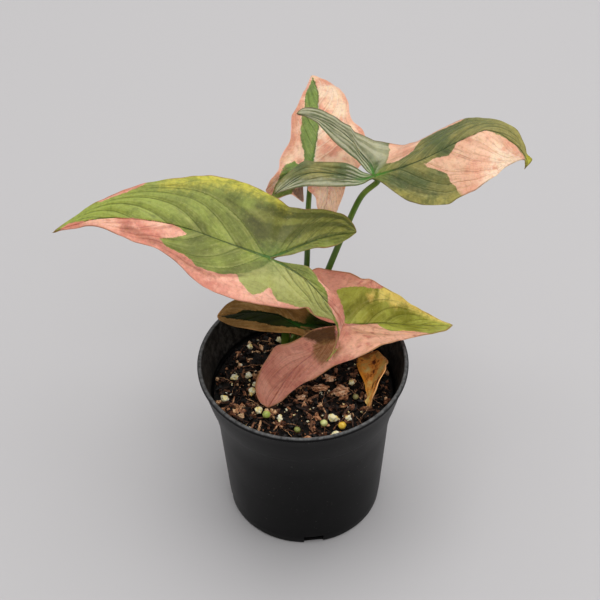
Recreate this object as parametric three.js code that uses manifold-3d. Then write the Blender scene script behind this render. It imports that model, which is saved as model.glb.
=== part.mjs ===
// Pink-variegated arrowhead plant (Syngonium podophyllum) in its nursery pot.
// Millimetres, +Z up. Origin at the centre of the pot's base, on the surface the pot stands on.
// +X is to the right and +Y to the back, as the plant is usually seen from the front.
import * as THREE from 'three';
import { mergeVertices } from 'three/addons/utils/BufferGeometryUtils.js';
import Module from 'manifold-3d';

const wasm = await Module();
wasm.setup();

// ---------------------------------------------------------------- driving dimensions

const pot = {
  height: 100,           // four-inch round nursery pot
  rimRadius: 54,         // 108 mm over the rolled lip
  lipHeight: 2.4,
  baseRadius: 40.5,
  baseCorner: 1.2,
  wall: 1.3,
  floorThickness: 1.8,
  drainNotches: 4,       // each opens both the foot of the wall and the edge of the floor
  notchWidth: 10,
  notchHeight: 5.5,
  notchReach: 5.5,       // inward from the wall
  notchTurn: 6,          // degrees from the front
};

const fit = 0.3;         // gap left between pieces that touch
const soilDepth = 19.5;  // from the rim down to the potting mix
const soilTop = pot.height - soilDepth;
const mixClearance = 0.9; // the mix has shrunk a little from the wall
const bladeThickness = 0.6;
const stemFoot = new THREE.Vector3(-4, 27, soilTop);
const stemRadius = 2.8;
const stemHeight = 9;
const stemRootDepth = 9;
const petioleSteps = 16;
const petioleSides = 10;
const petioleFootLift = 1.6;   // how far above the mix's nominal top a petiole starts
const petioleRise = 5;         // it rises straight from the foot
const petioleNeck = 3.5;       // and meets the blade square for its last part

const group = new THREE.Group();

// ---------------------------------------------------------------- materials

function material(colour, roughness) {
  return new THREE.MeshStandardMaterial({ color: colour, roughness, metalness: 0 });
}

function addPiece(name, geometry, pieceMaterial) {
  const mesh = new THREE.Mesh(geometry, pieceMaterial);
  mesh.name = name;
  group.add(mesh);
  return mesh;
}

// ---------------------------------------------------------------- solids and cuts

function bareGeometry(geometry) {
  const bare = geometry.clone();
  bare.deleteAttribute('normal');
  bare.deleteAttribute('uv');
  return mergeVertices(bare, 1e-4);
}

function toManifold(geometry) {
  const bare = bareGeometry(geometry);
  return new wasm.Manifold(new wasm.Mesh({
    numProp: 3,
    vertProperties: new Float32Array(bare.attributes.position.array),
    triVerts: new Uint32Array(bare.index.array),
  }));
}

function fromManifold(solid) {
  const mesh = solid.getMesh();
  const geometry = new THREE.BufferGeometry();
  geometry.setAttribute('position', new THREE.BufferAttribute(mesh.vertProperties, 3));
  geometry.setIndex(new THREE.BufferAttribute(mesh.triVerts, 1));
  geometry.computeVertexNormals();
  return geometry;
}

function indexedGeometry(points, triangles) {
  const geometry = new THREE.BufferGeometry().setFromPoints(points);
  geometry.setIndex(triangles.flat());
  geometry.computeVertexNormals();
  return geometry;
}

// ---------------------------------------------------------------- nursery pot

// Outer radius of the pot at a height: a drafted wall, then a wider flare up to the rim,
// with a shallow moulded step where the flare's band begins.
const bandHeight = 22;
const bandFoot = pot.height - bandHeight;
const flareFoot = 60;
const outerProfile = [
  [pot.baseRadius, pot.baseCorner],
  [41.1, 8],
  [43.1, 34],
  [44.8, flareFoot],
  [47.8, bandFoot - 0.7],
  [48.6, bandFoot],
  [51.9, 92],
  [52.9, pot.height - pot.lipHeight],
];

function outerRadius(z) {
  let below = outerProfile[0];
  for (const above of outerProfile) {
    if (above[1] >= z) {
      const share = above[1] === below[1] ? 0 : (z - below[1]) / (above[1] - below[1]);
      return below[0] + (above[0] - below[0]) * share;
    }
    below = above;
  }
  return below[0];
}

function nurseryPot() {
  const { height, rimRadius, lipHeight, wall, floorThickness } = pot;
  const lipRound = 0.7;
  const lipWidth = 2.3;
  const ledgeWidth = 1;
  const profile = [
    [0, 0],
    [pot.baseRadius - pot.baseCorner, 0],
    ...outerProfile,
    [rimRadius, height - lipHeight + lipRound / 2],
    [rimRadius, height - lipRound],
    [rimRadius - lipRound, height],
    [rimRadius - lipWidth + lipRound, height],
    [rimRadius - lipWidth, height - lipRound],
    [outerRadius(bandFoot) - wall + ledgeWidth / 2, bandFoot],
    [outerRadius(bandFoot) - wall - ledgeWidth / 2, bandFoot - ledgeWidth],
    [outerRadius(flareFoot) - wall, flareFoot],
    [outerRadius(floorThickness) - wall, floorThickness],
    [0, floorThickness],
  ].map(([r, z]) => new THREE.Vector2(r, z));
  const body = new THREE.LatheGeometry(profile, 48).rotateX(Math.PI / 2);
  let solid = toManifold(body);
  for (let i = 0; i < pot.drainNotches; i += 1) {
    const turn = THREE.MathUtils.degToRad(-90 + pot.notchTurn + (i * 360) / pot.drainNotches);
    const cutter = new THREE.BoxGeometry(2 * pot.notchReach, pot.notchWidth, 2 * pot.notchHeight);
    cutter.translate(pot.baseRadius, 0, 0).rotateZ(turn);
    solid = solid.subtract(toManifold(cutter));
  }
  return fromManifold(solid);
}

addPiece('nursery_pot', nurseryPot(), material('#17181a', 0.45));

// ---------------------------------------------------------------- potting mix

// The mix settles a little lower toward the wall and lies in low humps.
function soilHeight(x, y) {
  const radius = Math.hypot(x, y);
  const humps = 0.7 * Math.sin(x / 6.5 + 1.1) * Math.cos(y / 7.5 + 0.4);
  return soilTop + humps - 1.2 * (radius / 45) ** 4;
}

function pottingMix() {
  const rings = 9;
  const spokes = 40;
  const floorTop = pot.floorThickness;
  const wallGap = pot.wall + mixClearance;
  const topRadius = outerRadius(soilTop) - wallGap;
  const points = [new THREE.Vector3(0, 0, soilHeight(0, 0))];
  for (let ring = 1; ring <= rings; ring += 1) {
    for (let spoke = 0; spoke < spokes; spoke += 1) {
      const angle = (spoke / spokes) * 2 * Math.PI;
      const x = (ring / rings) * topRadius * Math.cos(angle);
      const y = (ring / rings) * topRadius * Math.sin(angle);
      points.push(new THREE.Vector3(x, y, soilHeight(x, y)));
    }
  }
  for (const z of [flareFoot, floorTop + fit]) {
    const radius = outerRadius(z) - wallGap;
    for (let spoke = 0; spoke < spokes; spoke += 1) {
      const angle = (spoke / spokes) * 2 * Math.PI;
      points.push(new THREE.Vector3(radius * Math.cos(angle), radius * Math.sin(angle), z));
    }
  }
  points.push(new THREE.Vector3(0, 0, floorTop + fit));
  const at = (ring, spoke) => (ring === 0 ? 0 : 1 + (ring - 1) * spokes + (spoke % spokes));
  const triangles = [];
  for (let spoke = 0; spoke < spokes; spoke += 1) {
    triangles.push([0, at(1, spoke), at(1, spoke + 1)]);
    for (let ring = 1; ring < rings + 2; ring += 1) {
      triangles.push([at(ring, spoke), at(ring + 1, spoke), at(ring + 1, spoke + 1)]);
      triangles.push([at(ring, spoke), at(ring + 1, spoke + 1), at(ring, spoke + 1)]);
    }
    triangles.push([points.length - 1, at(rings + 2, spoke + 1), at(rings + 2, spoke)]);
  }
  // the main stem roots in a socket of its own
  const socketRadius = stemRadius + fit;
  const socket = new THREE.CylinderGeometry(socketRadius, socketRadius, 2 * (stemRootDepth + fit), 20);
  socket.rotateX(Math.PI / 2);
  socket.translate(stemFoot.x, stemFoot.y, stemFoot.z);
  return fromManifold(toManifold(indexedGeometry(points, triangles)).subtract(toManifold(socket)));
}

addPiece('potting_mix', pottingMix(), material('#2a1d18', 0.95));

// ---------------------------------------------------------------- leaf blades

// A blade is drawn flat, as if pressed, in millimetres from its junction with the petiole. The
// first number runs along the midrib toward the tip and the second to the left of it. Each half
// has the margin of the front lobe (tip to shoulder), the margin of the basal lobe (shoulder to
// lobe tip), the lobe's own rib (junction to lobe tip) and its inner margin (junction to lobe
// tip). The flat blade is then folded at the midrib, bent along its bend lines, and set at its
// heading (from +X toward +Y), pitch (tip up) and roll (left half up), all in degrees.
const blades = {
  leaf_large_left: {
    junction: [-14.7, 10, 162],
    heading: 172,
    pitch: 14,
    roll: -20,
    fold: 5,
    bends: [
      { at: [-46, 25], toward: 180, radius: 3, turn: 60 },
      { at: [0, -24], toward: -90, radius: 30, turn: 35, from: -8, over: 20 },
      { at: [-8, 12], toward: 128, radius: 25, turn: 42 },
      { at: [-12, -14], toward: -142, radius: 50, turn: 12 },
      { at: [45, 0], toward: 0, radius: 90, turn: 28 },
    ],
    midrib: [[111.5, 6], [88, -2], [73, -3], [59, -4], [41, -4], [21, -2], [0, 0]],
    left: {
      front: [[111.5, 6], [100, 4], [89, 2.5], [76, 6], [65, 9.5], [55, 10.5], [43, 16], [36, 21],
        [28, 25], [14, 27.5], [5, 26.5], [-9, 24]],
      lobe: [[-9, 24], [-18, 22], [-24, 19.5], [-29, 22], [-36, 21.5], [-41, 22], [-45, 25],
        [-47.5, 30], [-47.5, 36], [-45.5, 42]],
      rib: [[0, 0], [-16, 5], [-31, 13], [-44, 19], [-50, 28], [-49.5, 36], [-45.5, 42]],
      inner: [[0, 0], [-7, 0.5], [-16, -0.5], [-20, 0], [-25, 4], [-32, 7.5], [-37, 9.5], [-42, 13],
        [-48, 17], [-53, 23], [-55, 31], [-52, 38], [-45.5, 42]],
    },
    right: {
      front: [[111.5, 6], [101, -3], [91, -11], [71, -21.5], [55, -28], [38, -34.5], [23, -35.5],
        [12, -34], [-3, -30]],
      lobe: [[-3, -30], [-10, -31], [-17, -34], [-29, -36.5], [-36, -34], [-39.5, -29]],
      rib: [[0, 0], [-12.5, -10.5], [-26, -21], [-39.5, -29]],
      inner: [[0, 0], [-10, -5], [-19.5, -11], [-28.5, -15.5], [-35.5, -23], [-39.5, -29]],
    },
  },
  leaf_back: {
    junction: [5.9, 60, 178.8],
    heading: 88,
    pitch: 6,
    roll: 0,
    fold: 0,
    bends: [
      { at: [-12, 0], toward: 180, radius: 5, turn: -46 },
      { at: [-2.5, 0], toward: 180, radius: 5, turn: 72 },
      { at: [-3, -10], toward: -110, radius: 20, turn: 20 },
      { at: [-3, 8], toward: 118, radius: 20, turn: 30 },
      { at: [30, 0], toward: 0, radius: 90, turn: 22 },
    ],
    midrib: [[82, 1.5], [64, -2], [47, -3], [30, -3.3], [20, -2.7], [7, -1.4], [0, 0]],
    left: {
      front: [[82, 1.5], [70, 3], [60, 4.5], [51, 6.5], [43, 8], [35.5, 10.5], [25.5, 10.7],
        [17, 11], [10.5, 13.5], [3.5, 16]],
      lobe: [[3.5, 16], [-3, 16.7], [-6.7, 22.4], [-12, 27.5]],
      rib: [[0, 0], [-3.8, 8], [-7.3, 17.5], [-12, 27.5]],
      inner: [[0, 0], [-6.1, 3], [-12.1, 3.9], [-17.3, 3.9], [-21, 5.7], [-20.1, 9.3], [-17.6, 14.3],
        [-17.4, 18.9], [-17.7, 23], [-15.5, 26.3], [-12, 27.5]],
    },
    right: {
      front: [[82, 1.5], [80, -3], [73, -8.5], [63, -13.7], [49.3, -18.3], [38, -19.3], [31, -21.2],
        [26, -26.2], [15, -28], [4, -26]],
      lobe: [[4, -26], [-3.9, -21.6], [-7.5, -19.5], [-14.9, -19.7], [-22, -18.4], [-26.7, -16.8],
        [-31.2, -10.5]],
      rib: [[0, 0], [-7.6, -6], [-18.9, -9.8], [-31.2, -10.5]],
      inner: [[0, 0], [-6.1, 0.4], [-11.2, 1.3], [-14.2, 1.5], [-16.4, -1.1], [-18.7, -2.6],
        [-23.8, -3.4], [-28.8, -7.6], [-31.2, -10.5]],
    },
  },
  leaf_upper_right: {
    junction: [36.1, 38, 189.4],
    heading: 2,
    pitch: 30,
    roll: 0,
    fold: -20,
    bends: [
      { at: [-22, 22], toward: 135, radius: 60, turn: 15 },
      { at: [-22, -2], toward: 180, radius: 60, turn: 15 },
      { at: [0, 3], toward: 130, radius: 14, turn: -38 },
      { at: [-3, -2], toward: 180, radius: 14, turn: -16 },
      { at: [48, 0], toward: -8, radius: 26, turn: 70 },
    ],
    midrib: [[86, -13.5], [79, -8.5], [73, -6.5], [66, -3.5], [59, -2], [53, -3.5], [43, -3.5],
      [33, -4], [21, -3.5], [11, -2.5], [0, 0]],
    left: {
      front: [[86, -13.5], [83, -6], [77, 1], [69, 5], [62, 8], [53, 13], [47, 15.5], [39, 17],
        [31, 15], [23, 15.5], [12, 20.5], [4, 23]],
      lobe: [[4, 23], [-2, 27], [-12, 31], [-19, 36], [-25.5, 40], [-32.5, 41.5], [-37, 39]],
      rib: [[0, 0], [-1, 10], [-7, 20], [-20, 31], [-37, 39]],
      inner: [[0, 0], [-3, 5], [-6.5, 11], [-13, 16.5], [-20, 23], [-27, 32], [-37, 39]],
    },
    right: {
      front: [[86, -13.5], [77, -16.5], [69.5, -21], [62.5, -26], [49.5, -30.5], [39, -30.5],
        [32, -31], [24.5, -28.5], [18, -25], [12.5, -20], [7, -12], [2, -4]],
      lobe: [[2, -4], [-1, -1.5], [-6, -2], [-16.5, -2.5], [-35, -2], [-42.5, -3], [-50, -5]],
      rib: [[0, 0], [-6, 1], [-16, 4], [-34, 4.5], [-50, -5]],
      inner: [[0, 0], [-4, 4.5], [-13, 10], [-28, 10.5], [-35, 11], [-47, 1.5], [-50, -5]],
    },
  },
  leaf_low_right: {
    junction: [21.3, 14, 110.6],
    heading: 22,
    pitch: -18,
    roll: 20,
    fold: 42,
    bends: [
      { at: [-4, -5], toward: -140, radius: 24, turn: 50 },
      { at: [-3, 4], toward: 125, radius: 24, turn: -30 },
    ],
    midrib: [[64.5, -4.5], [52, -4], [37, -2], [20, 0], [0, 0]],
    left: {
      front: [[64.5, -4.5], [54.5, 2], [44, 6.5], [33.5, 11.5], [24, 15.5], [9, 21.5], [0, 27.5]],
      lobe: [[0, 27.5], [-5, 29], [-11, 30.5], [-15.5, 29.5], [-22, 26.5], [-27, 20]],
      rib: [[0, 0], [-9, 9], [-18, 16], [-27, 20]],
      inner: [[0, 0], [-13, 4], [-22, 10], [-27, 20]],
    },
    right: {
      front: [[64.5, -4.5], [56, -9.5], [43.5, -12.5], [26, -16], [8, -20], [0, -20.5]],
      lobe: [[0, -20.5], [-10, -21], [-21, -25.5], [-27.5, -27], [-35, -30.5], [-41, -34.5],
        [-48.5, -36.5]],
      rib: [[0, 0], [-14, -10], [-32, -20], [-48.5, -36.5]],
      inner: [[0, 0], [-16.5, -1], [-25.5, -5.5], [-30.5, -8], [-36, -10], [-40.5, -15], [-47.5, -23],
        [-51, -28], [-52, -32.5], [-48.5, -36.5]],
    },
  },
  leaf_small_shaded: {
    junction: [-0.6, 14, 109.8],
    heading: 170,
    pitch: 22,
    roll: -6,
    fold: 0,
    bends: [{ at: [12, 0], toward: 0, radius: 35, turn: 40 }],
    midrib: [[45.5, 2], [33, 1.5], [21.5, -0.5], [12, -1.5], [0, 0]],
    left: {
      front: [[45.5, 2], [43, 5.5], [33, 10.5], [24.5, 11.5], [18, 11], [11.5, 9], [4, 6]],
      lobe: [[4, 6], [-1, 5.5], [-6, 5.5], [-10, 4]],
      rib: [[0, 0], [-5, 2], [-10, 4]],
      inner: [[0, 0], [-4, -0.2], [-8, 1], [-10, 4]],
    },
    right: {
      front: [[45.5, 2], [42.5, -4.5], [38, -7.5], [30, -10.5], [20, -12], [10, -12.5], [-1.5, -13]],
      lobe: [[-1.5, -13], [-9, -12], [-15, -9.5], [-18.5, -6.5]],
      rib: [[0, 0], [-6, -4], [-12, -6.5], [-18.5, -6.5]],
      inner: [[0, 0], [-7, -1.5], [-14, -3], [-18.5, -6.5]],
    },
  },
  dried_leaf: {
    junction: [37, 19.3, 84.2],
    heading: -97,
    pitch: -3,
    roll: 24,
    fold: 10,
    bends: [
      { at: [8, 6], toward: 60, radius: 9, turn: -35 },
      { at: [20, -1], toward: -20, radius: 20, turn: 25 },
    ],
    midrib: [[35.5, 1], [27, 1], [18, 1.5], [9, 0.5], [0, 0]],
    left: {
      front: [[35.5, 1], [34, 3], [24.5, 6], [18, 10], [11, 9.5], [4, 6], [0, 2.8], [0, 0]],
    },
    right: {
      front: [[35.5, 1], [29, -1.5], [19.5, -3.5], [10, -7.5], [4, -8.5], [1, -5], [0, 0]],
    },
  },
};

function smoothStep(value) {
  const x = THREE.MathUtils.clamp(value, 0, 1);
  return x * x * (3 - 2 * x);
}

// Rolls the sheet over a bend line: past the line it follows an arc, then runs on straight.
function bendSheet(point, { at, toward, radius, turn, from, over }) {
  const angle = THREE.MathUtils.degToRad(toward);
  const across = new THREE.Vector2(Math.cos(angle), Math.sin(angle));
  const offset = new THREE.Vector2(point.x - at[0], point.y - at[1]);
  const distance = offset.dot(across);
  if (distance <= 0) return point;
  const sense = Math.sign(turn);
  let fullTurn = Math.abs(THREE.MathUtils.degToRad(turn));
  if (over) {
    const along = offset.y * across.x - offset.x * across.y;
    fullTurn *= smoothStep((along - from) / over);
  }
  const arc = Math.min(distance / radius, fullTurn);
  const straight = Math.max(distance - radius * fullTurn, 0);
  const run = radius * Math.sin(arc) + straight * Math.cos(arc);
  const drop = radius * (1 - Math.cos(arc)) + straight * Math.sin(arc);
  const shift = run + sense * point.z * Math.sin(arc) - distance;
  return new THREE.Vector3(
    point.x + shift * across.x,
    point.y + shift * across.y,
    point.z * Math.cos(arc) - sense * drop,
  );
}

function drape(blade, along, left) {
  const foldWidth = 4;
  const lift = Math.tan(THREE.MathUtils.degToRad(blade.fold)) * smoothStep((along + 12) / 24);
  let point = new THREE.Vector3(along, left, lift * (Math.hypot(left, foldWidth) - foldWidth));
  for (const bend of blade.bends) point = bendSheet(point, bend);
  point.applyAxisAngle(new THREE.Vector3(1, 0, 0), THREE.MathUtils.degToRad(blade.roll));
  point.applyAxisAngle(new THREE.Vector3(0, 1, 0), -THREE.MathUtils.degToRad(blade.pitch));
  point.applyAxisAngle(new THREE.Vector3(0, 0, 1), THREE.MathUtils.degToRad(blade.heading));
  return point.add(new THREE.Vector3(...blade.junction));
}

function bladeNormal(blade, along, left) {
  const step = 0.2;
  const forward = drape(blade, along + step, left).sub(drape(blade, along - step, left));
  const sideways = drape(blade, along, left + step).sub(drape(blade, along, left - step));
  return forward.cross(sideways).normalize();
}

function spacedLine(points, count) {
  return new THREE.SplineCurve(points.map(([x, y]) => new THREE.Vector2(x, y))).getSpacedPoints(count);
}

// Flat grid of quads between two lines that run side by side.
function ruledGrid(sheet, lineA, lineB, columns) {
  const rows = lineA.map((a, i) => Array.from({ length: columns + 1 }, (_, j) => {
    const point = a.clone().lerp(lineB[i], j / columns);
    const key = `${point.x.toFixed(3)},${point.y.toFixed(3)}`;
    if (!sheet.index.has(key)) {
      sheet.index.set(key, sheet.points.length);
      sheet.points.push(point);
    }
    return sheet.index.get(key);
  }));
  const addTriangle = (a, b, c) => {
    if (a === b || b === c || c === a) return;
    const [pa, pb, pc] = [a, b, c].map((i) => sheet.points[i]);
    const area = pb.clone().sub(pa).cross(pc.clone().sub(pa));
    if (Math.abs(area) < 1e-4) return;
    sheet.triangles.push(area > 0 ? [a, b, c] : [a, c, b]);
  };
  for (let i = 0; i + 1 < rows.length; i += 1) {
    for (let j = 0; j < columns; j += 1) {
      addTriangle(rows[i][j], rows[i + 1][j], rows[i + 1][j + 1]);
      addTriangle(rows[i][j], rows[i + 1][j + 1], rows[i][j + 1]);
    }
  }
}

function flatSheet(blade, frontSteps, lobeSteps, columns) {
  const sheet = { points: [], triangles: [], index: new Map() };
  const midrib = spacedLine(blade.midrib, frontSteps);
  for (const half of [blade.left, blade.right]) {
    ruledGrid(sheet, midrib, spacedLine(half.front, frontSteps), columns);
    if (half.lobe) {
      const rib = spacedLine(half.rib, lobeSteps);
      ruledGrid(sheet, rib, spacedLine(half.lobe, lobeSteps), columns);
      ruledGrid(sheet, rib, spacedLine(half.inner, lobeSteps), columns - 1);
    }
  }
  return sheet;
}

// Thickens the draped sheet into a closed blade: upper face, lower face and the margin between.
function bladeSolid(blade, frontSteps, lobeSteps, columns) {
  const { points, triangles } = flatSheet(blade, frontSteps, lobeSteps, columns);
  const count = points.length;
  const half = bladeThickness / 2;
  const faces = [half, -half].flatMap((offset) => points.map(({ x, y }) => (
    drape(blade, x, y).addScaledVector(bladeNormal(blade, x, y), offset))));
  const solid = [];
  const edges = new Map();
  for (const [a, b, c] of triangles) {
    solid.push([a, b, c], [a + count, c + count, b + count]);
    for (const [from, to] of [[a, b], [b, c], [c, a]]) {
      if (!edges.delete(`${to},${from}`)) edges.set(`${from},${to}`, [from, to]);
    }
  }
  for (const [from, to] of edges.values()) {
    solid.push([from, from + count, to + count], [from, to + count, to]);
  }
  return indexedGeometry(faces, solid);
}

const bladeColours = {
  leaf_large_left: '#86954a',
  leaf_back: '#e0a58c',
  leaf_upper_right: '#66795a',
  leaf_low_right: '#c58a7c',
  leaf_small_shaded: '#5a5b30',
  dried_leaf: '#9c6f36',
};
// how finely a blade is divided: along the front lobe, along a basal lobe, and across
const bladeSteps = {
  leaf_large_left: [15, 10, 4],
  leaf_back: [13, 14, 5],
  leaf_upper_right: [15, 8, 4],
  leaf_low_right: [12, 8, 4],
  leaf_small_shaded: [9, 4, 3],
  dried_leaf: [9, 0, 3],
};
for (const [name, blade] of Object.entries(blades)) {
  if (name === 'dried_leaf') continue;
  addPiece(name, bladeSolid(blade, ...bladeSteps[name]), material(bladeColours[name], 0.5));
}

// ---------------------------------------------------------------- main stem and petioles

function mainStem() {
  const top = stemHeight;
  const profile = [
    [0, -stemRootDepth],
    [stemRadius - 0.6, -stemRootDepth],
    [stemRadius, 1 - stemRootDepth],
    [stemRadius, top - 1.6],
    [stemRadius - 1.1, top - 0.3],
    [0, top],
  ].map(([r, z]) => new THREE.Vector2(r, z));
  return new THREE.LatheGeometry(profile, 20).rotateX(Math.PI / 2);
}

addPiece('main_stem', mainStem(), material('#4d6b2c', 0.6)).position.copy(stemFoot);

// A round stalk that tapers along a smooth curve, closed at both ends.
function taperedTube(points, footRadius, topRadius, steps, sides) {
  const curve = new THREE.CatmullRomCurve3(points);
  const frames = curve.computeFrenetFrames(steps, false);
  const centres = curve.getSpacedPoints(steps);
  const rings = centres.map((centre, i) => Array.from({ length: sides }, (_, k) => {
    const angle = (k / sides) * 2 * Math.PI;
    const radius = footRadius + (topRadius - footRadius) * (i / steps);
    return centre.clone()
      .addScaledVector(frames.normals[i], radius * Math.cos(angle))
      .addScaledVector(frames.binormals[i], radius * Math.sin(angle));
  }));
  const triangles = [];
  for (let i = 0; i < steps; i += 1) {
    for (let k = 0; k < sides; k += 1) {
      const next = (k + 1) % sides;
      const [a, b] = [i * sides + k, i * sides + next];
      const [c, d] = [a + sides, b + sides];
      triangles.push([a, b, d], [a, d, c]);
    }
  }
  const last = steps * sides;
  for (let k = 1; k + 1 < sides; k += 1) {
    triangles.push([0, k + 1, k], [last, last + k, last + k + 1]);
  }
  return indexedGeometry(rings.flat(), triangles);
}

// Petioles leave the stem side by side. Each entry gives the side of the stem it leaves from,
// the points it bends through and its radii at the foot and under the blade.
const petioles = {
  petiole_large_left: {
    blade: 'leaf_large_left',
    side: 175,
    through: [[-8.5, 30, 102], [-10, 30.5, 118], [-12, 20, 147]],
    radii: [1.9, 1.4],
  },
  petiole_back: {
    blade: 'leaf_back',
    side: 85,
    through: [[0.5, 36, 108], [3, 42.5, 127.5], [4, 52, 154]],
    radii: [1.8, 1.3],
  },
  petiole_upper_right: {
    blade: 'leaf_upper_right',
    side: 20,
    through: [[7, 34, 108], [14.3, 38, 128.3], [22.5, 41.5, 151], [30.3, 41.5, 173]],
    radii: [1.9, 1.4],
  },
  petiole_low_right: {
    blade: 'leaf_low_right',
    side: -45,
    through: [[4, 20, 92], [14, 15, 100]],
    radii: [1.7, 1.3],
  },
  petiole_small_shaded: {
    blade: 'leaf_small_shaded',
    side: -110,
    through: [[-4.5, 20.5, 93], [-3, 17.5, 101]],
    radii: [1.5, 1.1],
  },
};

for (const [name, { blade, side, through, radii }] of Object.entries(petioles)) {
  const [footRadius, topRadius] = radii;
  const turn = THREE.MathUtils.degToRad(side);
  const reach = stemRadius + fit + footRadius;
  const foot = new THREE.Vector3(reach * Math.cos(turn), reach * Math.sin(turn), petioleFootLift);
  foot.add(stemFoot);
  const junction = drape(blades[blade], 0, 0);
  const normal = bladeNormal(blades[blade], 0, 0);
  const seat = bladeThickness / 2 + 1.2 * fit;
  const points = [
    foot,
    foot.clone().add(new THREE.Vector3(0, 0, petioleRise)),
    ...through.map((point) => new THREE.Vector3(...point)),
    junction.clone().addScaledVector(normal, -seat - petioleNeck),
    junction.clone().addScaledVector(normal, -seat),
  ];
  const stalk = taperedTube(points, footRadius, topRadius, petioleSteps, petioleSides);
  addPiece(name, stalk, material('#4f7a2c', 0.5));
}

// ---------------------------------------------------------------- what lies on the mix

// Lowers or lifts a shape until its lowest contact clears the mix by the fit.
function restOnMix(geometry) {
  const place = geometry.attributes.position;
  let clearance = Infinity;
  for (let i = 0; i < place.count; i += 1) {
    clearance = Math.min(clearance, place.getZ(i) - soilHeight(place.getX(i), place.getY(i)));
  }
  return geometry.translate(0, 0, fit - clearance);
}

const driedLeaf = bladeSolid(blades.dried_leaf, ...bladeSteps.dried_leaf);
addPiece('dried_leaf', restOnMix(driedLeaf), material(bladeColours.dried_leaf, 0.85));

// A rounded, slightly knobbly lump of the given size, turned to lie at a place on the mix.
function lump(x, y, size, turn, roughnessOfShape) {
  const geometry = bareGeometry(new THREE.IcosahedronGeometry(0.5, 1));
  const place = geometry.attributes.position;
  const vertex = new THREE.Vector3();
  for (let i = 0; i < place.count; i += 1) {
    vertex.fromBufferAttribute(place, i);
    const wave = Math.sin(7 * vertex.x + x) * Math.cos(6 * vertex.y + y) + Math.sin(8 * vertex.z + x - y);
    vertex.multiplyScalar(1 + roughnessOfShape * 0.5 * wave);
    place.setXYZ(i, vertex.x, vertex.y, vertex.z);
  }
  geometry.scale(...size).rotateZ(THREE.MathUtils.degToRad(turn)).translate(x, y, soilTop);
  geometry.computeVertexNormals();
  return restOnMix(geometry);
}

const perlite = [
  { at: [-26.6, -4.8], size: [3, 4.4, 3] },
  { at: [-24.8, 0.4], size: [2.8, 2.4, 2.2] },
  { at: [-22.9, -18], size: [3.4, 3.2, 3] },
  { at: [-12.2, -23.6], size: [4.4, 2.2, 2.2] },
  { at: [14.7, -24.3], size: [3.6, 4.4, 3.6] },
  { at: [22.6, -24.2], size: [2.4, 2.8, 2.2] },
  { at: [15.7, -34.1], size: [3.8, 2.4, 2] },
  { at: [-35.5, 5.7], size: [3.8, 2.6, 2.4] },
  { at: [-40.6, -8.9], size: [3.8, 3.2, 2.6] },
  { at: [-28, 28.2], size: [2.6, 2.6, 2.4] },
  { at: [-28.4, 6.8], size: [3, 3.2, 2.6] },
  { at: [25.2, 0.7], size: [2.8, 2.8, 2.6] },
  { at: [-12.6, 32.6], size: [3.6, 2.4, 2.2] },
];
perlite.forEach(({ at: [x, y], size }, i) => {
  const name = `perlite_${String(i + 1).padStart(2, '0')}`;
  addPiece(name, lump(x, y, size, 25 * i, 0.12), material('#e6dfc4', 0.9));
});

const prills = [
  { at: [19.3, -29.8], size: 4.2, colour: '#e8b21c' },
  { at: [-3.5, -31.1], size: 3.4, colour: '#8f9440' },
  { at: [10.1, -27.2], size: 3.8, colour: '#c9cc6a' },
  { at: [-19, -21.6], size: 4.2, colour: '#b9c65a' },
  { at: [-30.2, -28.2], size: 2.6, colour: '#d9c52e' },
  { at: [26.8, -9.4], size: 3.2, colour: '#8a8450' },
];
prills.forEach(({ at: [x, y], size, colour }, i) => {
  const name = `fertiliser_prill_${i + 1}`;
  addPiece(name, lump(x, y, [size, size, size * 0.92], 0, 0.03), material(colour, 0.45));
});

const chips = [
  { at: [19.7, -4.5], size: [8.5, 6.6, 3.2], turn: -25 },
  { at: [8.4, -3.4], size: [8.6, 4.2, 2.8], turn: 8 },
  { at: [13.5, 3.7], size: [6.6, 4.2, 2.4], turn: 30 },
  { at: [-1.4, -9.3], size: [4, 2.6, 1.8], turn: -10 },
];
chips.forEach(({ at: [x, y], size, turn }, i) => {
  addPiece(`bark_chip_${i + 1}`, lump(x, y, size, turn, 0.2), material('#a8744c', 0.9));
});

function twig() {
  const lift = 1.2;
  const ends = [[4.2, -24.6], [3.6, -28.4], [4.4, -32.2]];
  const points = ends.map(([x, y]) => new THREE.Vector3(x, y, soilHeight(x, y) + lift));
  return restOnMix(taperedTube(points, 0.7, 0.5, 6, 8));
}

addPiece('twig', twig(), material('#6b452c', 0.9));

export default group;
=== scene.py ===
import math
import random

import bpy
import numpy as np
from mathutils import Matrix, Vector, noise


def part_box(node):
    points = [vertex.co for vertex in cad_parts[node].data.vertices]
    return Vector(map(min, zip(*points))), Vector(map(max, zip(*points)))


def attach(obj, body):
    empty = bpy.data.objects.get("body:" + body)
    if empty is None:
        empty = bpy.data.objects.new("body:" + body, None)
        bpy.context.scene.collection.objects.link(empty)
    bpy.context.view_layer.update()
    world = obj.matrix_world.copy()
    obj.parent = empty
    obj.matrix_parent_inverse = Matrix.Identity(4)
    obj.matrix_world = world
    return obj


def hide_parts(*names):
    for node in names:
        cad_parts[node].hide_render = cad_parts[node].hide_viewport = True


# Pink-variegated arrowhead plant in its nursery pot. Lengths below are millimetres unless a
# name says otherwise, and MM turns them into Blender's metres.
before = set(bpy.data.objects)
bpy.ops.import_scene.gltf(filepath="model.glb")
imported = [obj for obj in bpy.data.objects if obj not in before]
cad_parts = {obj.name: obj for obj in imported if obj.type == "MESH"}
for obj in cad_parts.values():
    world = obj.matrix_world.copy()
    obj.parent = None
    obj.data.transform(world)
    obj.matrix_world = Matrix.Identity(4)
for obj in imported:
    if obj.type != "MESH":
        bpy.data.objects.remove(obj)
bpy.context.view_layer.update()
MM = 0.001

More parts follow.
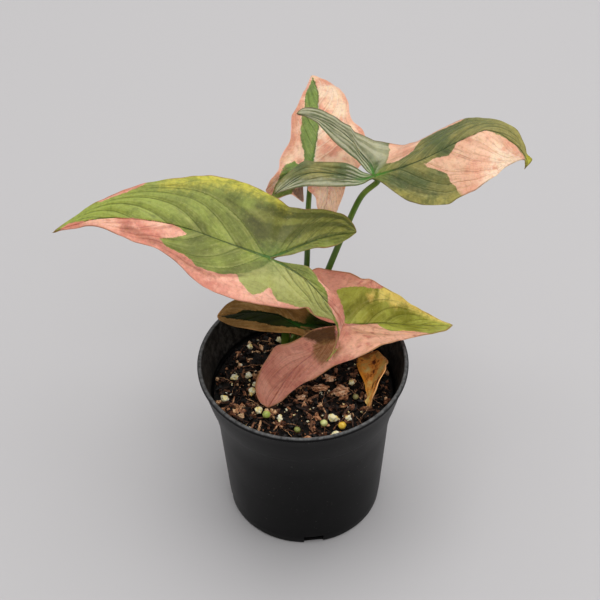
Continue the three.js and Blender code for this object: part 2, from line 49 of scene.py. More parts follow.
# ---------------------------------------------------------------- viewpoint
# The pot stands on a table and is looked down on from the front, a little under 45 degrees.
look_down = math.radians(44.4)
roll = math.radians(-1.03)
stand_off = 0.7865
aim = Vector((-0.00089, 0, 0.14279))
backward = Vector((0, -math.cos(look_down), math.sin(look_down)))
bpy.ops.object.select_all(action="DESELECT")
bpy.ops.object.camera_add()
viewpoint = bpy.context.object
viewpoint.name = "viewpoint"
viewpoint.data.lens = 96
viewpoint.data.sensor_width = 36
tilt = Matrix.Rotation(math.pi / 2 - look_down, 4, "X") @ Matrix.Rotation(roll, 4, "Z")
viewpoint.matrix_world = Matrix.Translation(aim + backward * stand_off) @ tilt
bpy.context.scene.camera = viewpoint

# ---------------------------------------------------------------- floor and light
# A plain pale floor under one wide soft light overhead, a little behind the plant, with weak
# fill from the sides, so that shade gathers under the leaves and round the foot of the pot.


def node(tree, kind, values=None, **settings):
    """Adds a node; a value that is a socket is linked and any other is set."""
    made = tree.nodes.new(kind)
    for key, value in settings.items():
        setattr(made, key, value)
    for key, value in (values or {}).items():
        if isinstance(value, bpy.types.NodeSocket):
            tree.links.new(value, made.inputs[key])
        else:
            made.inputs[key].default_value = value
    return made


def rgb(red, green, blue):
    """Linear colour from the eight-bit numbers that a paint chart gives."""
    def linear(part):
        part /= 255
        return part / 12.92 if part < 0.04045 else ((part + 0.055) / 1.055) ** 2.4
    return (linear(red), linear(green), linear(blue), 1)


def new_finish(name, **shader):
    """A material with its shader's own sockets set; returns it, its tree and its shader."""
    finish = bpy.data.materials.new(name)
    finish.use_nodes = True
    tree = finish.node_tree
    surface = tree.nodes["Principled BSDF"]
    for key, value in shader.items():
        surface.inputs[key.replace("_", " ")].default_value = value
    return finish, tree, surface


bpy.ops.mesh.primitive_plane_add(size=8)
floor = bpy.context.object
floor.name = "floor"
floor_finish, _, _ = new_finish("pale floor", Base_Color=rgb(190, 188, 189), Roughness=0.9)
floor.data.materials.append(floor_finish)

lamps = {
    "overhead": {"at": (0.12, 0.42, 2.4), "size": 2.2, "power": 41},
    "front_fill": {"at": (0.5, -1.6, 2.4), "size": 1.2, "power": 11},
    "right_fill": {"at": (2.0, -0.5, 1.0), "size": 1.4, "power": 6},
}
for name, lamp in lamps.items():
    bpy.ops.object.light_add(type="AREA", location=lamp["at"])
    light = bpy.context.object
    light.name = name
    light.data.size = lamp["size"]
    light.data.energy = lamp["power"]
    toward = Vector((0, 0, 0.12)) - Vector(lamp["at"])
    light.rotation_mode = "QUATERNION"
    light.rotation_quaternion = toward.to_track_quat("-Z", "Y")
world = bpy.data.worlds.new("room")
bpy.context.scene.world = world
world.use_nodes = True
world.node_tree.nodes["Background"].inputs["Color"].default_value = (1, 1, 1, 1)
world.node_tree.nodes["Background"].inputs["Strength"].default_value = 0.47
bpy.context.scene.view_settings.view_transform = "Standard"

# ---------------------------------------------------------------- nursery pot
# A thin injection-moulded polypropylene pot, satin black. The wall goes up from the flat base
# through a band with a small step at its foot to a rolled lip, and four notches drain it.
pot_base = 39.3
# (radius, height) up the outside and over the lip, then down the lining to the pot's floor.
pot_wall = [
    (40.1, 0.4), (40.6, 1.3), (40.85, 6.6), (41.2, 7), (41.3, 8), (43.1, 34), (44.8, 60),
    (47.7, 77.3), (48.5, 77.7), (48.7, 78.3), (50.3, 85), (51.9, 92), (52.8, 97.2), (53.5, 97.6),
    (53.95, 98.2), (54, 98.9), (53.8, 99.5), (53.3, 99.9), (52.6, 100), (52, 99.8), (51.65, 99.2),
]
pot_lining = [
    (50.3, 90), (47.5, 78.1), (46.7, 77.4), (43.6, 60), (41.9, 34), (39.4, 2.4), (38.8, 1.8),
]
notch_turn = math.radians(6)
notch_radius = 41.2
notch_size = (5.2, 10.5, 11)
moulded_edge = 0.25


def extrude_rings(start, rings, segments=144):
    """A round solid drawn up through rings of (radius, height) from a filled base circle."""
    bpy.ops.object.select_all(action="DESELECT")
    radius, height = start
    bpy.ops.mesh.primitive_circle_add(
        vertices=segments, radius=radius * MM, fill_type="NGON", location=(0, 0, height * MM))
    made = bpy.context.object
    bpy.ops.object.transform_apply(location=True)
    bpy.ops.object.mode_set(mode="EDIT")
    bpy.ops.mesh.select_mode(type="FACE")
    bpy.ops.mesh.select_all(action="SELECT")
    for next_radius, next_height in rings:
        rise = (next_height - height) * MM
        bpy.ops.mesh.extrude_region_move(TRANSFORM_OT_translate={"value": (0, 0, rise)})
        share = next_radius / radius
        bpy.ops.transform.resize(value=(share, share, 1), center_override=(0, 0, next_height * MM))
        radius, height = next_radius, next_height
    bpy.ops.object.mode_set(mode="OBJECT")
    return made


def pick(piece):
    """Makes the piece active, with everything else deselected."""
    bpy.ops.object.select_all(action="DESELECT")
    piece.select_set(True)
    bpy.context.view_layer.objects.active = piece


def apply_all(piece):
    """Applies the piece's modifiers in order."""
    pick(piece)
    for modifier in list(piece.modifiers):
        bpy.ops.object.modifier_apply(modifier=modifier.name)


def face_outward(piece):
    """Turns all faces of a closed piece outward."""
    pick(piece)
    bpy.ops.object.mode_set(mode="EDIT")
    bpy.ops.mesh.select_all(action="SELECT")
    bpy.ops.mesh.normals_make_consistent(inside=False)
    bpy.ops.object.mode_set(mode="OBJECT")


def shade_soft(piece, degrees=35):
    """Smooth shading that keeps edges sharper than the angle."""
    pick(piece)
    bpy.ops.object.shade_smooth_by_angle(angle=math.radians(degrees))


def seat(piece, name, finish, slot, *replaced):
    """Names a finished piece, gives it its finish, and sets it on the pot's body."""
    piece.name = name
    piece.data.name = name
    if finish:
        piece.data.materials.clear()
        piece.data.materials.append(finish)
    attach(piece, "root")
    if replaced:
        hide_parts(*replaced)


pot_shell = extrude_rings((pot_base, 0), pot_wall + pot_lining)
face_outward(pot_shell)
for quarter in range(4):
    turn = notch_turn + (quarter - 1) * math.pi / 2
    bpy.ops.object.select_all(action="DESELECT")
    spot = (notch_radius * MM * math.cos(turn), notch_radius * MM * math.sin(turn), 0)
    bpy.ops.mesh.primitive_cube_add(size=MM, location=spot, rotation=(0, 0, turn))
    notch = bpy.context.object
    notch.scale = notch_size
    cut = pot_shell.modifiers.new("drain notch", "BOOLEAN")
    cut.object = notch
    cut.solver = "EXACT"
    apply_all(pot_shell)
    bpy.data.objects.remove(notch)
rounding = pot_shell.modifiers.new("moulded edges", "BEVEL")
rounding.width = moulded_edge * MM
rounding.segments = 2
rounding.limit_method = "ANGLE"
rounding.angle_limit = math.radians(40)
apply_all(pot_shell)
shade_soft(pot_shell, 32)


def sums(tree, operation, *values):
    """A math node on sockets or numbers."""
    return node(tree, "ShaderNodeMath", dict(enumerate(values)), operation=operation).outputs[0]


def mixed(tree, share, first, second, mode="MIX"):
    """Two colours mixed by a share."""
    return node(tree, "ShaderNodeMix", {0: share, 6: first, 7: second},
                data_type="RGBA", blend_type=mode).outputs[2]


def spread(tree, value, low, high, bottom=0.0, top=1.0):
    """Bottom at low, rising evenly to top at high; low may be the larger."""
    return node(tree, "ShaderNodeMapRange", {
        "Value": value, "From Min": low, "From Max": high, "To Min": bottom,
        "To Max": top}).outputs["Result"]


def speckle(tree, where, scale, detail, roughness=0.5):
    """Noise over a surface, with about scale features to the metre."""
    return node(tree, "ShaderNodeTexNoise", {
        "Vector": where, "Scale": scale, "Detail": detail, "Roughness": roughness}).outputs["Fac"]


# Grain is fine unevenness for a surface: its height feeds a bump and its mask the roughness.
grain_group = bpy.data.node_groups.new("surface grain", "ShaderNodeTree")
for name in ("Coarse", "Fine"):
    grain_group.interface.new_socket(name, in_out="INPUT", socket_type="NodeSocketFloat")
for name in ("Height", "Mask"):
    grain_group.interface.new_socket(name, in_out="OUTPUT", socket_type="NodeSocketFloat")
grain_in = grain_group.nodes.new("NodeGroupInput")
grain_out = grain_group.nodes.new("NodeGroupOutput")
grain_where = node(grain_group, "ShaderNodeTexCoord").outputs["Object"]
coarse = speckle(grain_group, grain_where, grain_in.outputs["Coarse"], 4)
fine = speckle(grain_group, grain_where, grain_in.outputs["Fine"], 3)
halved = sums(grain_group, "MULTIPLY", sums(grain_group, "ADD", coarse, fine), 0.5)
grain_group.links.new(halved, grain_out.inputs["Height"])
grain_group.links.new(coarse, grain_out.inputs["Mask"])


def grain(tree, coarse_scale, fine_scale):
    """Places the surface grain in a finish."""
    made = tree.nodes.new("ShaderNodeGroup")
    made.node_tree = grain_group
    made.inputs["Coarse"].default_value = coarse_scale
    made.inputs["Fine"].default_value = fine_scale
    return made


def bump(tree, surface, height, strength, depth):
    """Feeds a height into the shader's normal; depth is in millimetres."""
    made = node(tree, "ShaderNodeBump", {
        "Height": height, "Strength": strength, "Distance": depth * MM})
    tree.links.new(made.outputs["Normal"], surface.inputs["Normal"])


def ramp(tree, fac, stops):
    """A colour ramp through (position, colour) stops."""
    made = node(tree, "ShaderNodeValToRGB", {"Fac": fac})
    first, last = made.color_ramp.elements
    first.position, first.color = stops[0]
    last.position, last.color = stops[-1]
    for position, colour in stops[1:-1]:
        made.color_ramp.elements.new(position).color = colour
    return made.outputs["Color"]


pot_finish, tree, surface = new_finish("satin black polypropylene", Specular_IOR_Level=0.11)
pot_where = node(tree, "ShaderNodeTexCoord").outputs["Object"]
height_up = node(tree, "ShaderNodeSeparateXYZ", {0: pot_where}).outputs[2]
level_where = node(tree, "ShaderNodeVectorMath", {0: pot_where, 1: (1, 1, 0)},
                   operation="MULTIPLY")
off_axis = node(tree, "ShaderNodeVectorMath", {0: level_where.outputs[0]},
                operation="LENGTH").outputs["Value"]
dust = spread(tree, speckle(tree, pot_where, 55, 8, 0.7), 0.54, 0.8, top=0.3)
pot_colour = mixed(tree, dust, rgb(4, 4, 5), rgb(26, 25, 25))
# Soil splashes dry on the lining above the mix; the lining is told from the outside by its
# radius, less what the wall's flare adds to it at that height.
flare = -0.191
lining = spread(tree, sums(tree, "MULTIPLY_ADD", height_up, flare, off_axis), 0.0336, 0.0332)
above_mix = spread(tree, height_up, 0.0792, 0.0802)
splash_where = node(tree, "ShaderNodeVectorMath", {0: pot_where, 1: (1, 1, 0.6)},
                    operation="MULTIPLY")
splashes = spread(tree, speckle(tree, splash_where.outputs[0], 420, 6, 0.7), 0.42, 0.8, bottom=0.08)
splashed = sums(tree, "MULTIPLY", sums(tree, "MULTIPLY", lining, above_mix), splashes)
pot_colour = mixed(tree, splashed, pot_colour, rgb(88, 84, 80))
motes = spread(tree, speckle(tree, pot_where, 900, 2), 0.71, 0.76, top=0.5)
pot_colour = mixed(tree, motes, pot_colour, rgb(96, 94, 90))
# The top of the lip is lighter: partly scuffs, partly a painted highlight where the rounded lip
# catches the light.
on_lip = spread(tree, height_up, 0.0994, 0.1)
lip_scuffs_and_highlight = spread(tree, speckle(tree, pot_where, 500, 5), 0.35, 0.65, bottom=0.35)
pot_colour = mixed(tree, sums(tree, "MULTIPLY", on_lip, lip_scuffs_and_highlight), pot_colour, rgb(104, 104, 104))
# Painted shade: the cut faces inside the drain notches are coloured near black for the shade inside
# them.
painted_notch_shade = sums(tree, "MULTIPLY", sums(tree, "LESS_THAN", off_axis, 0.0398),
                    sums(tree, "LESS_THAN", height_up, 0.0056))
pot_colour = mixed(tree, painted_notch_shade, pot_colour, rgb(1, 1, 1))
tree.links.new(pot_colour, surface.inputs["Base Color"])
moulded = grain(tree, 14, 900)
satin = spread(tree, moulded.outputs["Mask"], 0.3, 0.7, bottom=0.34, top=0.5)
tree.links.new(satin, surface.inputs["Roughness"])
bump(tree, surface, moulded.outputs["Height"], 0.3, 0.15)
seat(pot_shell, "pot_shell", pot_finish, "pot_plastic", "nursery_pot")

# ---------------------------------------------------------------- potting mix
# Dark peat and coir with bark, settled 19.5 mm under the rim. The bed is a closed body down to
# the pot's floor; loose crumbs, bark slivers and coir fibres lie on it and give it its texture.
mix_top = 80.5
mix_foot, mix_sides = (38, 2.1), [(38.4, 2.7), (43.1, 60), (46.4, 79.2)]
bed_rings, ring_step = 41, 1.1
bed_sink, crumble_height, clod_height = 1.6, 1.6, 1.1
mix_seed = 11
crumb_count, sliver_count, fibre_count = 2000, 150, 190
stem_spot = (-4, 27)


def mix_height(x, y):
    """Nominal top of the mix: low humps, a little lower toward the wall."""
    humps = 0.7 * math.sin(x / 6.5 + 1.1) * math.cos(y / 7.5 + 0.4)
    return mix_top + humps - 1.2 * (math.hypot(x, y) / 45) ** 4


mix_bed = extrude_rings(mix_foot, mix_sides, 120)
bpy.ops.object.mode_set(mode="EDIT")
for _ in range(bed_rings):
    bpy.ops.mesh.inset(thickness=ring_step * MM)
bpy.ops.object.mode_set(mode="OBJECT")
for vertex in mix_bed.data.vertices:
    x, y, z = vertex.co / MM
    if z > mix_top - 2.5:
        crumble = crumble_height * noise.fractal(Vector((x, y, 3)) / 5.5, 1, 2, 4)
        clods = clod_height * noise.cell(Vector((x, y, 0)) / 2.6)
        clear_of_wall = min(1, max(0, (47 - math.hypot(x, y)) / 3))
        vertex.co.z = (mix_height(x, y) - bed_sink + clear_of_wall * (crumble + clods)) * MM
face_outward(mix_bed)
shade_soft(mix_bed, 60)

mix_finish, tree, surface = new_finish("dark potting mix", Specular_IOR_Level=0.35, Roughness=0.85)
crumb_grain = grain(tree, 420, 1500)
bed_where = node(tree, "ShaderNodeTexCoord").outputs["Object"]
patches = node(tree, "ShaderNodeTexVoronoi", {"Vector": bed_where, "Scale": 520, "Randomness": 1})
mottling = sums(tree, "MULTIPLY", patches.outputs["Color"], crumb_grain.outputs["Mask"])
mix_colour = ramp(tree, mottling, [
    (0.05, rgb(4, 2, 1)), (0.3, rgb(10, 6, 4)), (0.5, rgb(30, 18, 11)), (0.75, rgb(84, 52, 34))])
tree.links.new(mix_colour, surface.inputs["Base Color"])
bump(tree, surface, crumb_grain.outputs["Height"], 0.9, 0.8)
seat(mix_bed, "mix_bed", mix_finish, "potting_mix", "potting_mix")


def rough_lump(stretch, roughness, seed):
    """Points and faces of one irregular lump about a unit across."""
    bpy.ops.object.select_all(action="DESELECT")
    bpy.ops.mesh.primitive_ico_sphere_add(subdivisions=2, radius=0.5)
    made = bpy.context.object
    points = []
    for vertex in made.data.vertices:
        bulge = noise.noise(vertex.co * 3.1 + Vector((seed, 0, 0)))
        chip = noise.noise(vertex.co * 7.3 + Vector((0, seed, 0)))
        points.append(vertex.co * (1 + roughness * (bulge + 0.5 * chip)))
    made.data.vertices.foreach_set("co", np.array(points, np.float32).ravel())
    fewer = made.modifiers.new("fewer faces", "DECIMATE")
    fewer.ratio = 0.6
    apply_all(made)
    lump = np.array([tuple(vertex.co) for vertex in made.data.vertices])
    faces = [tuple(face.vertices) for face in made.data.polygons]
    bpy.data.objects.remove(made)
    return lump * stretch, faces


def heap(name, shapes, places, finish, slot):
    """Joins many turned copies of a few shapes in one piece, each copy with a tone of its own."""
    points, faces, tones = [], [], []
    for shape, turn, size, spot, tone in places:
        own, own_faces = shapes[shape]
        first = len(points)
        points.extend((Vector(p) * size) @ turn.transposed() + spot for p in own)
        faces.extend(tuple(first + i for i in face) for face in own_faces)
        tones.extend([tone] * len(own))
    mesh = bpy.data.meshes.new(name)
    mesh.from_pydata([p * MM for p in points], [], faces)
    mesh.attributes.new("tone", "FLOAT", "POINT").data.foreach_set("value", tones)
    made = bpy.data.objects.new(name, mesh)
    bpy.context.collection.objects.link(made)
    shade_soft(made, 50)
    seat(made, name, finish, slot)


def open_spot(chance, reach):
    """A random spot on the mix, clear of the main stem."""
    while True:
        x, y = chance.uniform(-reach, reach), chance.uniform(-reach, reach)
        if math.hypot(x, y) < reach and math.hypot(x - stem_spot[0], y - stem_spot[1]) > 8:
            return x, y


def random_turn(chance):
    """Any rotation."""
    axis = Vector((chance.gauss(0, 1), chance.gauss(0, 1), chance.gauss(0, 1))).normalized()
    return Matrix.Rotation(chance.uniform(0, 2 * math.pi), 3, axis)


def toned_finish(name, stops, roughness, grain_scale, depth):
    """A dry organic surface whose colour follows each copy's tone and a little grain."""
    finish, tree, surface = new_finish(name, Roughness=roughness, Specular_IOR_Level=0.3)
    tone = node(tree, "ShaderNodeAttribute", attribute_name="tone").outputs["Fac"]
    texture = grain(tree, grain_scale, grain_scale * 3)
    drift = sums(tree, "MULTIPLY_ADD", texture.outputs["Height"], 1.3, -0.65)
    tree.links.new(ramp(tree, sums(tree, "ADD", tone, drift), stops), surface.inputs["Base Color"])
    bump(tree, surface, texture.outputs["Height"], 0.8, depth)
    return finish


crumb_finish = toned_finish("peat and bark crumbs", [
    (0, rgb(4, 2, 1)), (0.32, rgb(20, 11, 6)), (0.5, rgb(86, 50, 32)), (0.7, rgb(158, 104, 74)),
    (0.86, rgb(206, 150, 106)), (1, rgb(246, 208, 160))], 0.5, 480, 0.6)
crumb_shapes = [rough_lump(stretch, 0.7, seed) for seed, stretch in enumerate([
    (1, 0.8, 0.6), (1, 0.6, 0.5), (1, 0.9, 0.45), (0.8, 0.7, 0.7)])]
chance = random.Random(mix_seed)
crumbs = []
for _ in range(crumb_count):
    x, y = open_spot(chance, 45.5)
    size = 0.8 + 3.6 * chance.random() ** 2.4
    spot = Vector((x, y, mix_height(x, y) - 0.4 + chance.uniform(-0.8, 0.8)))
    tone = 0.05 + 0.9 * chance.random() ** 2.1
    crumbs.append((chance.randrange(4), random_turn(chance), size, spot, tone))
heap("mix_crumbs", crumb_shapes, crumbs, crumb_finish, "potting_mix")

sliver_finish = toned_finish("bark and coir slivers", [
    (0, rgb(16, 9, 6)), (0.45, rgb(58, 36, 24)), (0.75, rgb(104, 66, 46)),
    (0.93, rgb(154, 106, 76)), (1, rgb(212, 164, 120))], 0.65, 500, 0.4)
sliver_shapes = [rough_lump(stretch, 0.35, 20 + seed) for seed, stretch in enumerate([
    (1, 0.2, 0.13), (1, 0.15, 0.13), (1, 0.27, 0.12)])]
slivers = []
for _ in range(sliver_count):
    x, y = open_spot(chance, 43)
    size = chance.uniform(3.5, 9)
    lean = Matrix.Rotation(chance.uniform(0, 2 * math.pi), 3, "Z") @ Matrix.Rotation(
        chance.uniform(-0.35, 0.35), 3, "Y") @ Matrix.Rotation(chance.uniform(-1, 1), 3, "X")
    spot = Vector((x, y, mix_height(x, y) + chance.uniform(0, 0.7)))
    slivers.append((chance.randrange(3), lean, size, spot, chance.random()))
heap("bark_slivers", sliver_shapes, slivers, sliver_finish, "potting_mix")


def thread_shape(bends, thickness, sides=5):
    """A thin fibre a unit long that wanders along its length."""
    points, faces = [], []
    steps = len(bends) - 1
    for step, (across, up) in enumerate(bends):
        for side in range(sides):
            angle = 2 * math.pi * side / sides
            taper = thickness * (0.35 + 0.65 * math.sin(math.pi * (step + 0.5) / (steps + 1)))
            points.append((step / steps - 0.5, across + taper * math.cos(angle),
                           up + taper * math.sin(angle)))
    for step in range(steps):
        for side in range(sides):
            a, b = step * sides + side, step * sides + (side + 1) % sides
            faces.append((a, b, b + sides, a + sides))
    faces.append(tuple(reversed(range(sides))))
    faces.append(tuple(steps * sides + side for side in range(sides)))
    return np.array(points), faces


thread_shapes = []
for _ in range(8):
    walk, across, up = [], 0.0, 0.0
    for _ in range(9):
        walk.append((across, up))
        across += chance.uniform(-0.07, 0.07)
        up += chance.uniform(-0.03, 0.03)
    thread_shapes.append(thread_shape(walk, 0.014))
threads = []
for _ in range(fibre_count):
    x, y = open_spot(chance, 42)
    size = chance.uniform(5, 13)
    lean = Matrix.Rotation(chance.uniform(0, 2 * math.pi), 3, "Z") @ Matrix.Rotation(
        chance.uniform(-0.18, 0.18), 3, "Y")
    spot = Vector((x, y, mix_height(x, y) + chance.uniform(0.3, 1.5)))
    threads.append((chance.randrange(8), lean, size, spot, chance.random()))
heap("coir_fibres", thread_shapes, threads, sliver_finish, "potting_mix")

# ---------------------------------------------------------------- perlite, prills and chips
# White expanded-glass perlite, resin-coated fertiliser prills and pale bark chips lie loose on
# the mix. Each larger grain is a piece of its own where its solid lies.
perlite_grow, bark_grow = 1.3, 1.25
speck_count = 85


def grain_piece(node_name, name, roughness, pitting, finish, slot, seed, grow=1.0):
    """A grain modelled to fill its solid's box, or a little more."""
    low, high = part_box(node_name)
    middle, size = (low + high) / 2, high - low
    bpy.ops.object.select_all(action="DESELECT")
    bpy.ops.mesh.primitive_ico_sphere_add(subdivisions=4, radius=0.5)
    made = bpy.context.object
    for vertex in made.data.vertices:
        bulge = noise.noise(vertex.co * 2.7 + Vector((seed, 1, 0)))
        pits = noise.cell(vertex.co * 9 + Vector((0, seed, 2)))
        vertex.co *= 1 + roughness * bulge - pitting * abs(pits)
    width = [max(abs(v.co[k]) for v in made.data.vertices) * 2 for k in range(3)]
    for vertex in made.data.vertices:
        for k in range(3):
            vertex.co[k] = middle[k] + vertex.co[k] / width[k] * size[k] * grow
    shade_soft(made, 60)
    seat(made, name, finish, slot, node_name)


perlite_finish, tree, surface = new_finish(
    "perlite", Roughness=0.7, Specular_IOR_Level=0.5, Subsurface_Weight=0.35, Subsurface_Scale=MM,
    Subsurface_Radius=(1, 0.9, 0.7))
pores = grain(tree, 500, 1600)
stain = ramp(tree, pores.outputs["Mask"], [
    (0.3, rgb(250, 204, 104)), (0.42, rgb(255, 236, 172)), (0.6, rgb(255, 248, 220))])
tree.links.new(stain, surface.inputs["Base Color"])
bump(tree, surface, pores.outputs["Height"], 0.45, 0.4)
for number in range(1, 14):
    solid = f"perlite_{number:02d}"
    grain_piece(solid, f"perlite_grain_{number:02d}", 0.45, 0.08, perlite_finish, "perlite",
                number, perlite_grow)

speck_places = []
for _ in range(speck_count):
    x, y = open_spot(chance, 42)
    spot = Vector((x, y, mix_height(x, y) + chance.uniform(0.2, 0.8)))
    speck_places.append(
        (chance.randrange(4), random_turn(chance), chance.uniform(0.6, 1.8), spot, 1))
heap("perlite_specks", crumb_shapes, speck_places, perlite_finish, "perlite")

prill_colours = [
    (rgb(236, 178, 22), rgb(247, 214, 90)), (rgb(112, 118, 52), rgb(160, 164, 90)),
    (rgb(190, 196, 96), rgb(222, 224, 150)), (rgb(160, 180, 76), rgb(214, 222, 130)),
    (rgb(214, 190, 40), rgb(240, 224, 110)), (rgb(120, 112, 66), rgb(166, 160, 104)),
]
for number, (deep, pale) in enumerate(prill_colours, 1):
    coat, tree, surface = new_finish(f"fertiliser coat {number}", Roughness=0.35)
    waxy = grain(tree, 260, 1200)
    tree.links.new(ramp(tree, waxy.outputs["Mask"], [(0.35, deep), (0.65, pale)]),
                   surface.inputs["Base Color"])
    bump(tree, surface, waxy.outputs["Height"], 0.3, 0.2)
    grain_piece(f"fertiliser_prill_{number}", f"prill_{number}", 0.1, 0.01, coat,
                "fertiliser_coat", 30 + number)

bark_finish, tree, surface = new_finish("pale bark", Roughness=0.85, Specular_IOR_Level=0.3)
bark_where = node(tree, "ShaderNodeTexCoord").outputs["Object"]
bark_stretch = node(tree, "ShaderNodeMapping", {
    "Vector": bark_where, "Rotation": (0.3, 0.2, 0.9), "Scale": (1, 3.2, 1.6)})
bark_lines = speckle(tree, bark_stretch.outputs[0], 240, 7, 0.7)
bark_colour = ramp(tree, bark_lines, [
    (0.36, rgb(70, 38, 26)), (0.45, rgb(190, 124, 84)), (0.54, rgb(244, 190, 148)),
    (0.68, rgb(255, 234, 204))])
tree.links.new(bark_colour, surface.inputs["Base Color"])
bump(tree, surface, bark_lines, 1.0, 1.2)
for number in range(1, 5):
    grain_piece(f"bark_chip_{number}", f"bark_flake_{number}", 0.9, 0.16, bark_finish, "bark",
                50 + number, bark_grow)


def smooth_route(points, count):
    """Evenly spaced points on a smooth curve through the given ones."""
    points = np.array(points, float)
    last = len(points) - 1
    fine = []
    for i in range(last):
        before, here, there, after = (points[max(i - 1, 0)], points[i], points[i + 1],
                                      points[min(i + 2, last)])
        leave, arrive = (there - before) / 2, (after - here) / 2
        for t in np.arange(24) / 24:
            fine.append((2 * here - 2 * there + leave + arrive) * t ** 3
                        + (3 * there - 3 * here - 2 * leave - arrive) * t ** 2 + leave * t + here)
    fine = np.array(fine + [points[last]])
    run = np.concatenate([[0], np.cumsum(np.linalg.norm(np.diff(fine, axis=0), axis=1))])
    at = np.linspace(0, run[-1], count + 1)
    return np.stack([np.interp(at, run, fine[:, k]) for k in range(fine.shape[1])], 1)


def stalk_mesh(name, route, radii, sides=20):
    """A tapering stalk along a route: a path curve with a round section, made a mesh."""
    curve = bpy.data.curves.new(name, "CURVE")
    curve.dimensions = "3D"
    curve.bevel_depth = MM
    curve.bevel_resolution = sides // 4
    curve.use_fill_caps = True
    spline = curve.splines.new("POLY")
    spline.points.add(len(route) - 1)
    for point, spot, radius in zip(spline.points, route, radii):
        point.co = (*(spot * MM), 1)
        point.radius = radius
    made = bpy.data.objects.new(name, curve)
    bpy.context.collection.objects.link(made)
    pick(made)
    bpy.ops.object.convert(target="MESH")
    made = bpy.context.object
    face_outward(made)
    shade_soft(made, 50)
    return made


twig_low, twig_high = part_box("twig")
twig_z = (twig_low.z + twig_high.z) / 2 / MM
twig_thick, twig_thin = 0.75, 0.45
twig_route = smooth_route(
    [(4.3, -24.7, twig_z + 0.1), (3.4, -28.3, twig_z), (4.5, -32.1, twig_z)], 16)
twig = stalk_mesh("twig_piece", twig_route, np.linspace(twig_thick, twig_thin, len(twig_route)))
twig_finish, tree, surface = new_finish("twig", Roughness=0.85, Specular_IOR_Level=0.3)
twig_grain = grain(tree, 300, 1400)
twig_colour = ramp(tree, twig_grain.outputs["Mask"], [
    (0.3, rgb(66, 38, 26)), (0.7, rgb(132, 90, 62))])
tree.links.new(twig_colour, surface.inputs["Base Color"])
bump(tree, surface, twig_grain.outputs["Height"], 0.8, 0.4)
seat(twig, "twig_piece", twig_finish, "bark", "twig")

# ---------------------------------------------------------------- leaf blades: how they grow
# A blade is drawn flat in millimetres from its junction with the petiole, along the midrib and
# to its left, then folded, bent and set in place, as the solids are. Each half has its front
# margin (tip to shoulder) and a basal lobe with its outer margin, rib and inner margin.
blade_thickness = 0.45
underside_ridge = (0.6, 0.12)
vein_groove, rib_groove = 0.28, 0.5
# A blade's maps hold millimetres divided by these.
flat_span, pitch_span, edge_span = 100, 30, 50


def ease(x):
    """0 up to 0, 1 from 1 on, and smooth between."""
    x = np.clip(x, 0, 1)
    return x * x * (3 - 2 * x)


def bend_sheet(points, at, toward, radius, turn, start=None, over=None):
    """Rolls the sheet over a bend line: past it the sheet follows an arc, then runs straight."""
    angle = math.radians(toward)
    across = np.array([math.cos(angle), math.sin(angle)])
    offset = points[:, :2] - at
    distance = offset @ across
    sense, full = np.sign(turn), abs(math.radians(turn))
    if over:
        full = full * ease((offset @ [-across[1], across[0]] - start) / over)
    arc = np.minimum(distance / radius, full)
    straight = np.maximum(distance - radius * full, 0)
    height = points[:, 2]
    run = radius * np.sin(arc) + straight * np.cos(arc) + sense * height * np.sin(arc)
    drop = radius * (1 - np.cos(arc)) + straight * np.sin(arc)
    moved = points.copy()
    past = distance > 0
    moved[past, 0] += ((run - distance) * across[0])[past]
    moved[past, 1] += ((run - distance) * across[1])[past]
    moved[past, 2] = (height * np.cos(arc) - sense * drop)[past]
    return moved


def drape(blade, flat, lift=0.0):
    """Places flat points of a blade, lifted off the sheet by lift, in the pot's frame."""
    along, left = flat[:, 0], flat[:, 1]
    fold = math.tan(math.radians(blade["fold"])) * ease((along + 12) / 24)
    points = np.stack([along, left, fold * (np.hypot(left, 4) - 4) + lift], 1)
    for bend in blade["bends"]:
        points = bend_sheet(points, *bend)
    turn = (Matrix.Rotation(math.radians(blade["heading"]), 3, "Z")
            @ Matrix.Rotation(math.radians(-blade["pitch"]), 3, "Y")
            @ Matrix.Rotation(math.radians(blade["roll"]), 3, "X"))
    return points @ np.array(turn).T + blade["junction"]


def distance_to(points, line):
    """Distance of flat points from a line of points."""
    line = np.array(line, float)
    best = np.full(len(points), 1e9)
    for a, b in zip(line[:-1], line[1:]):
        step = b - a
        share = np.clip((points - a) @ step / max(step @ step, 1e-9), 0, 1)
        best = np.minimum(best, np.linalg.norm(points - a - share[:, None] * step, axis=1))
    return best


def depth_inside(points, outline):
    """How deep flat points lie inside an outline; negative outside it."""
    ring = np.array(list(outline) + [outline[0]], float)
    inside = np.zeros(len(points), bool)
    for (ax, ay), (bx, by) in zip(ring[:-1], ring[1:]):
        if ay != by:
            crosses = (ay > points[:, 1]) != (by > points[:, 1])
            inside ^= crosses & (points[:, 0] < (bx - ax) * (points[:, 1] - ay) / (by - ay) + ax)
    distance = distance_to(points, ring)
    return np.where(inside, distance, -distance)


def side_veins(starts, sweep, flat, rows, columns):
    """Numbers the side veins smoothly over a patch, and gives the millimetres from one to the
    next. A vein leaves the rib at its start and sweeps forward as it nears the margin."""
    along = np.repeat(np.linspace(0, 1, rows + 1)[:, None], columns + 1, 1)
    across = np.repeat(np.linspace(0, 1, columns + 1)[None, :], rows + 1, 0)
    lean, reach, power = sweep
    place = along + lean * across + reach * across ** power
    starts = sorted(starts)
    known = [starts[0] - 0.12] + starts + [starts[-1] + 0.2]
    numbers = [-0.45] + list(range(len(starts))) + [len(starts) - 0.55]
    number = np.interp(place, known, numbers)
    s, t = flat.reshape(rows + 1, columns + 1, 2).transpose(2, 0, 1)
    (sa, sb), (ta, tb), (na, nb) = np.gradient(s), np.gradient(t), np.gradient(number)
    area = sa * tb - sb * ta
    area = np.where(abs(area) < 1e-4, 1e-4, area)
    slope = np.hypot((na * tb - nb * ta) / area, (nb * sa - na * sb) / area)
    return number.ravel(), np.clip(1 / np.maximum(slope, 1e-3), 0, pitch_span).ravel()


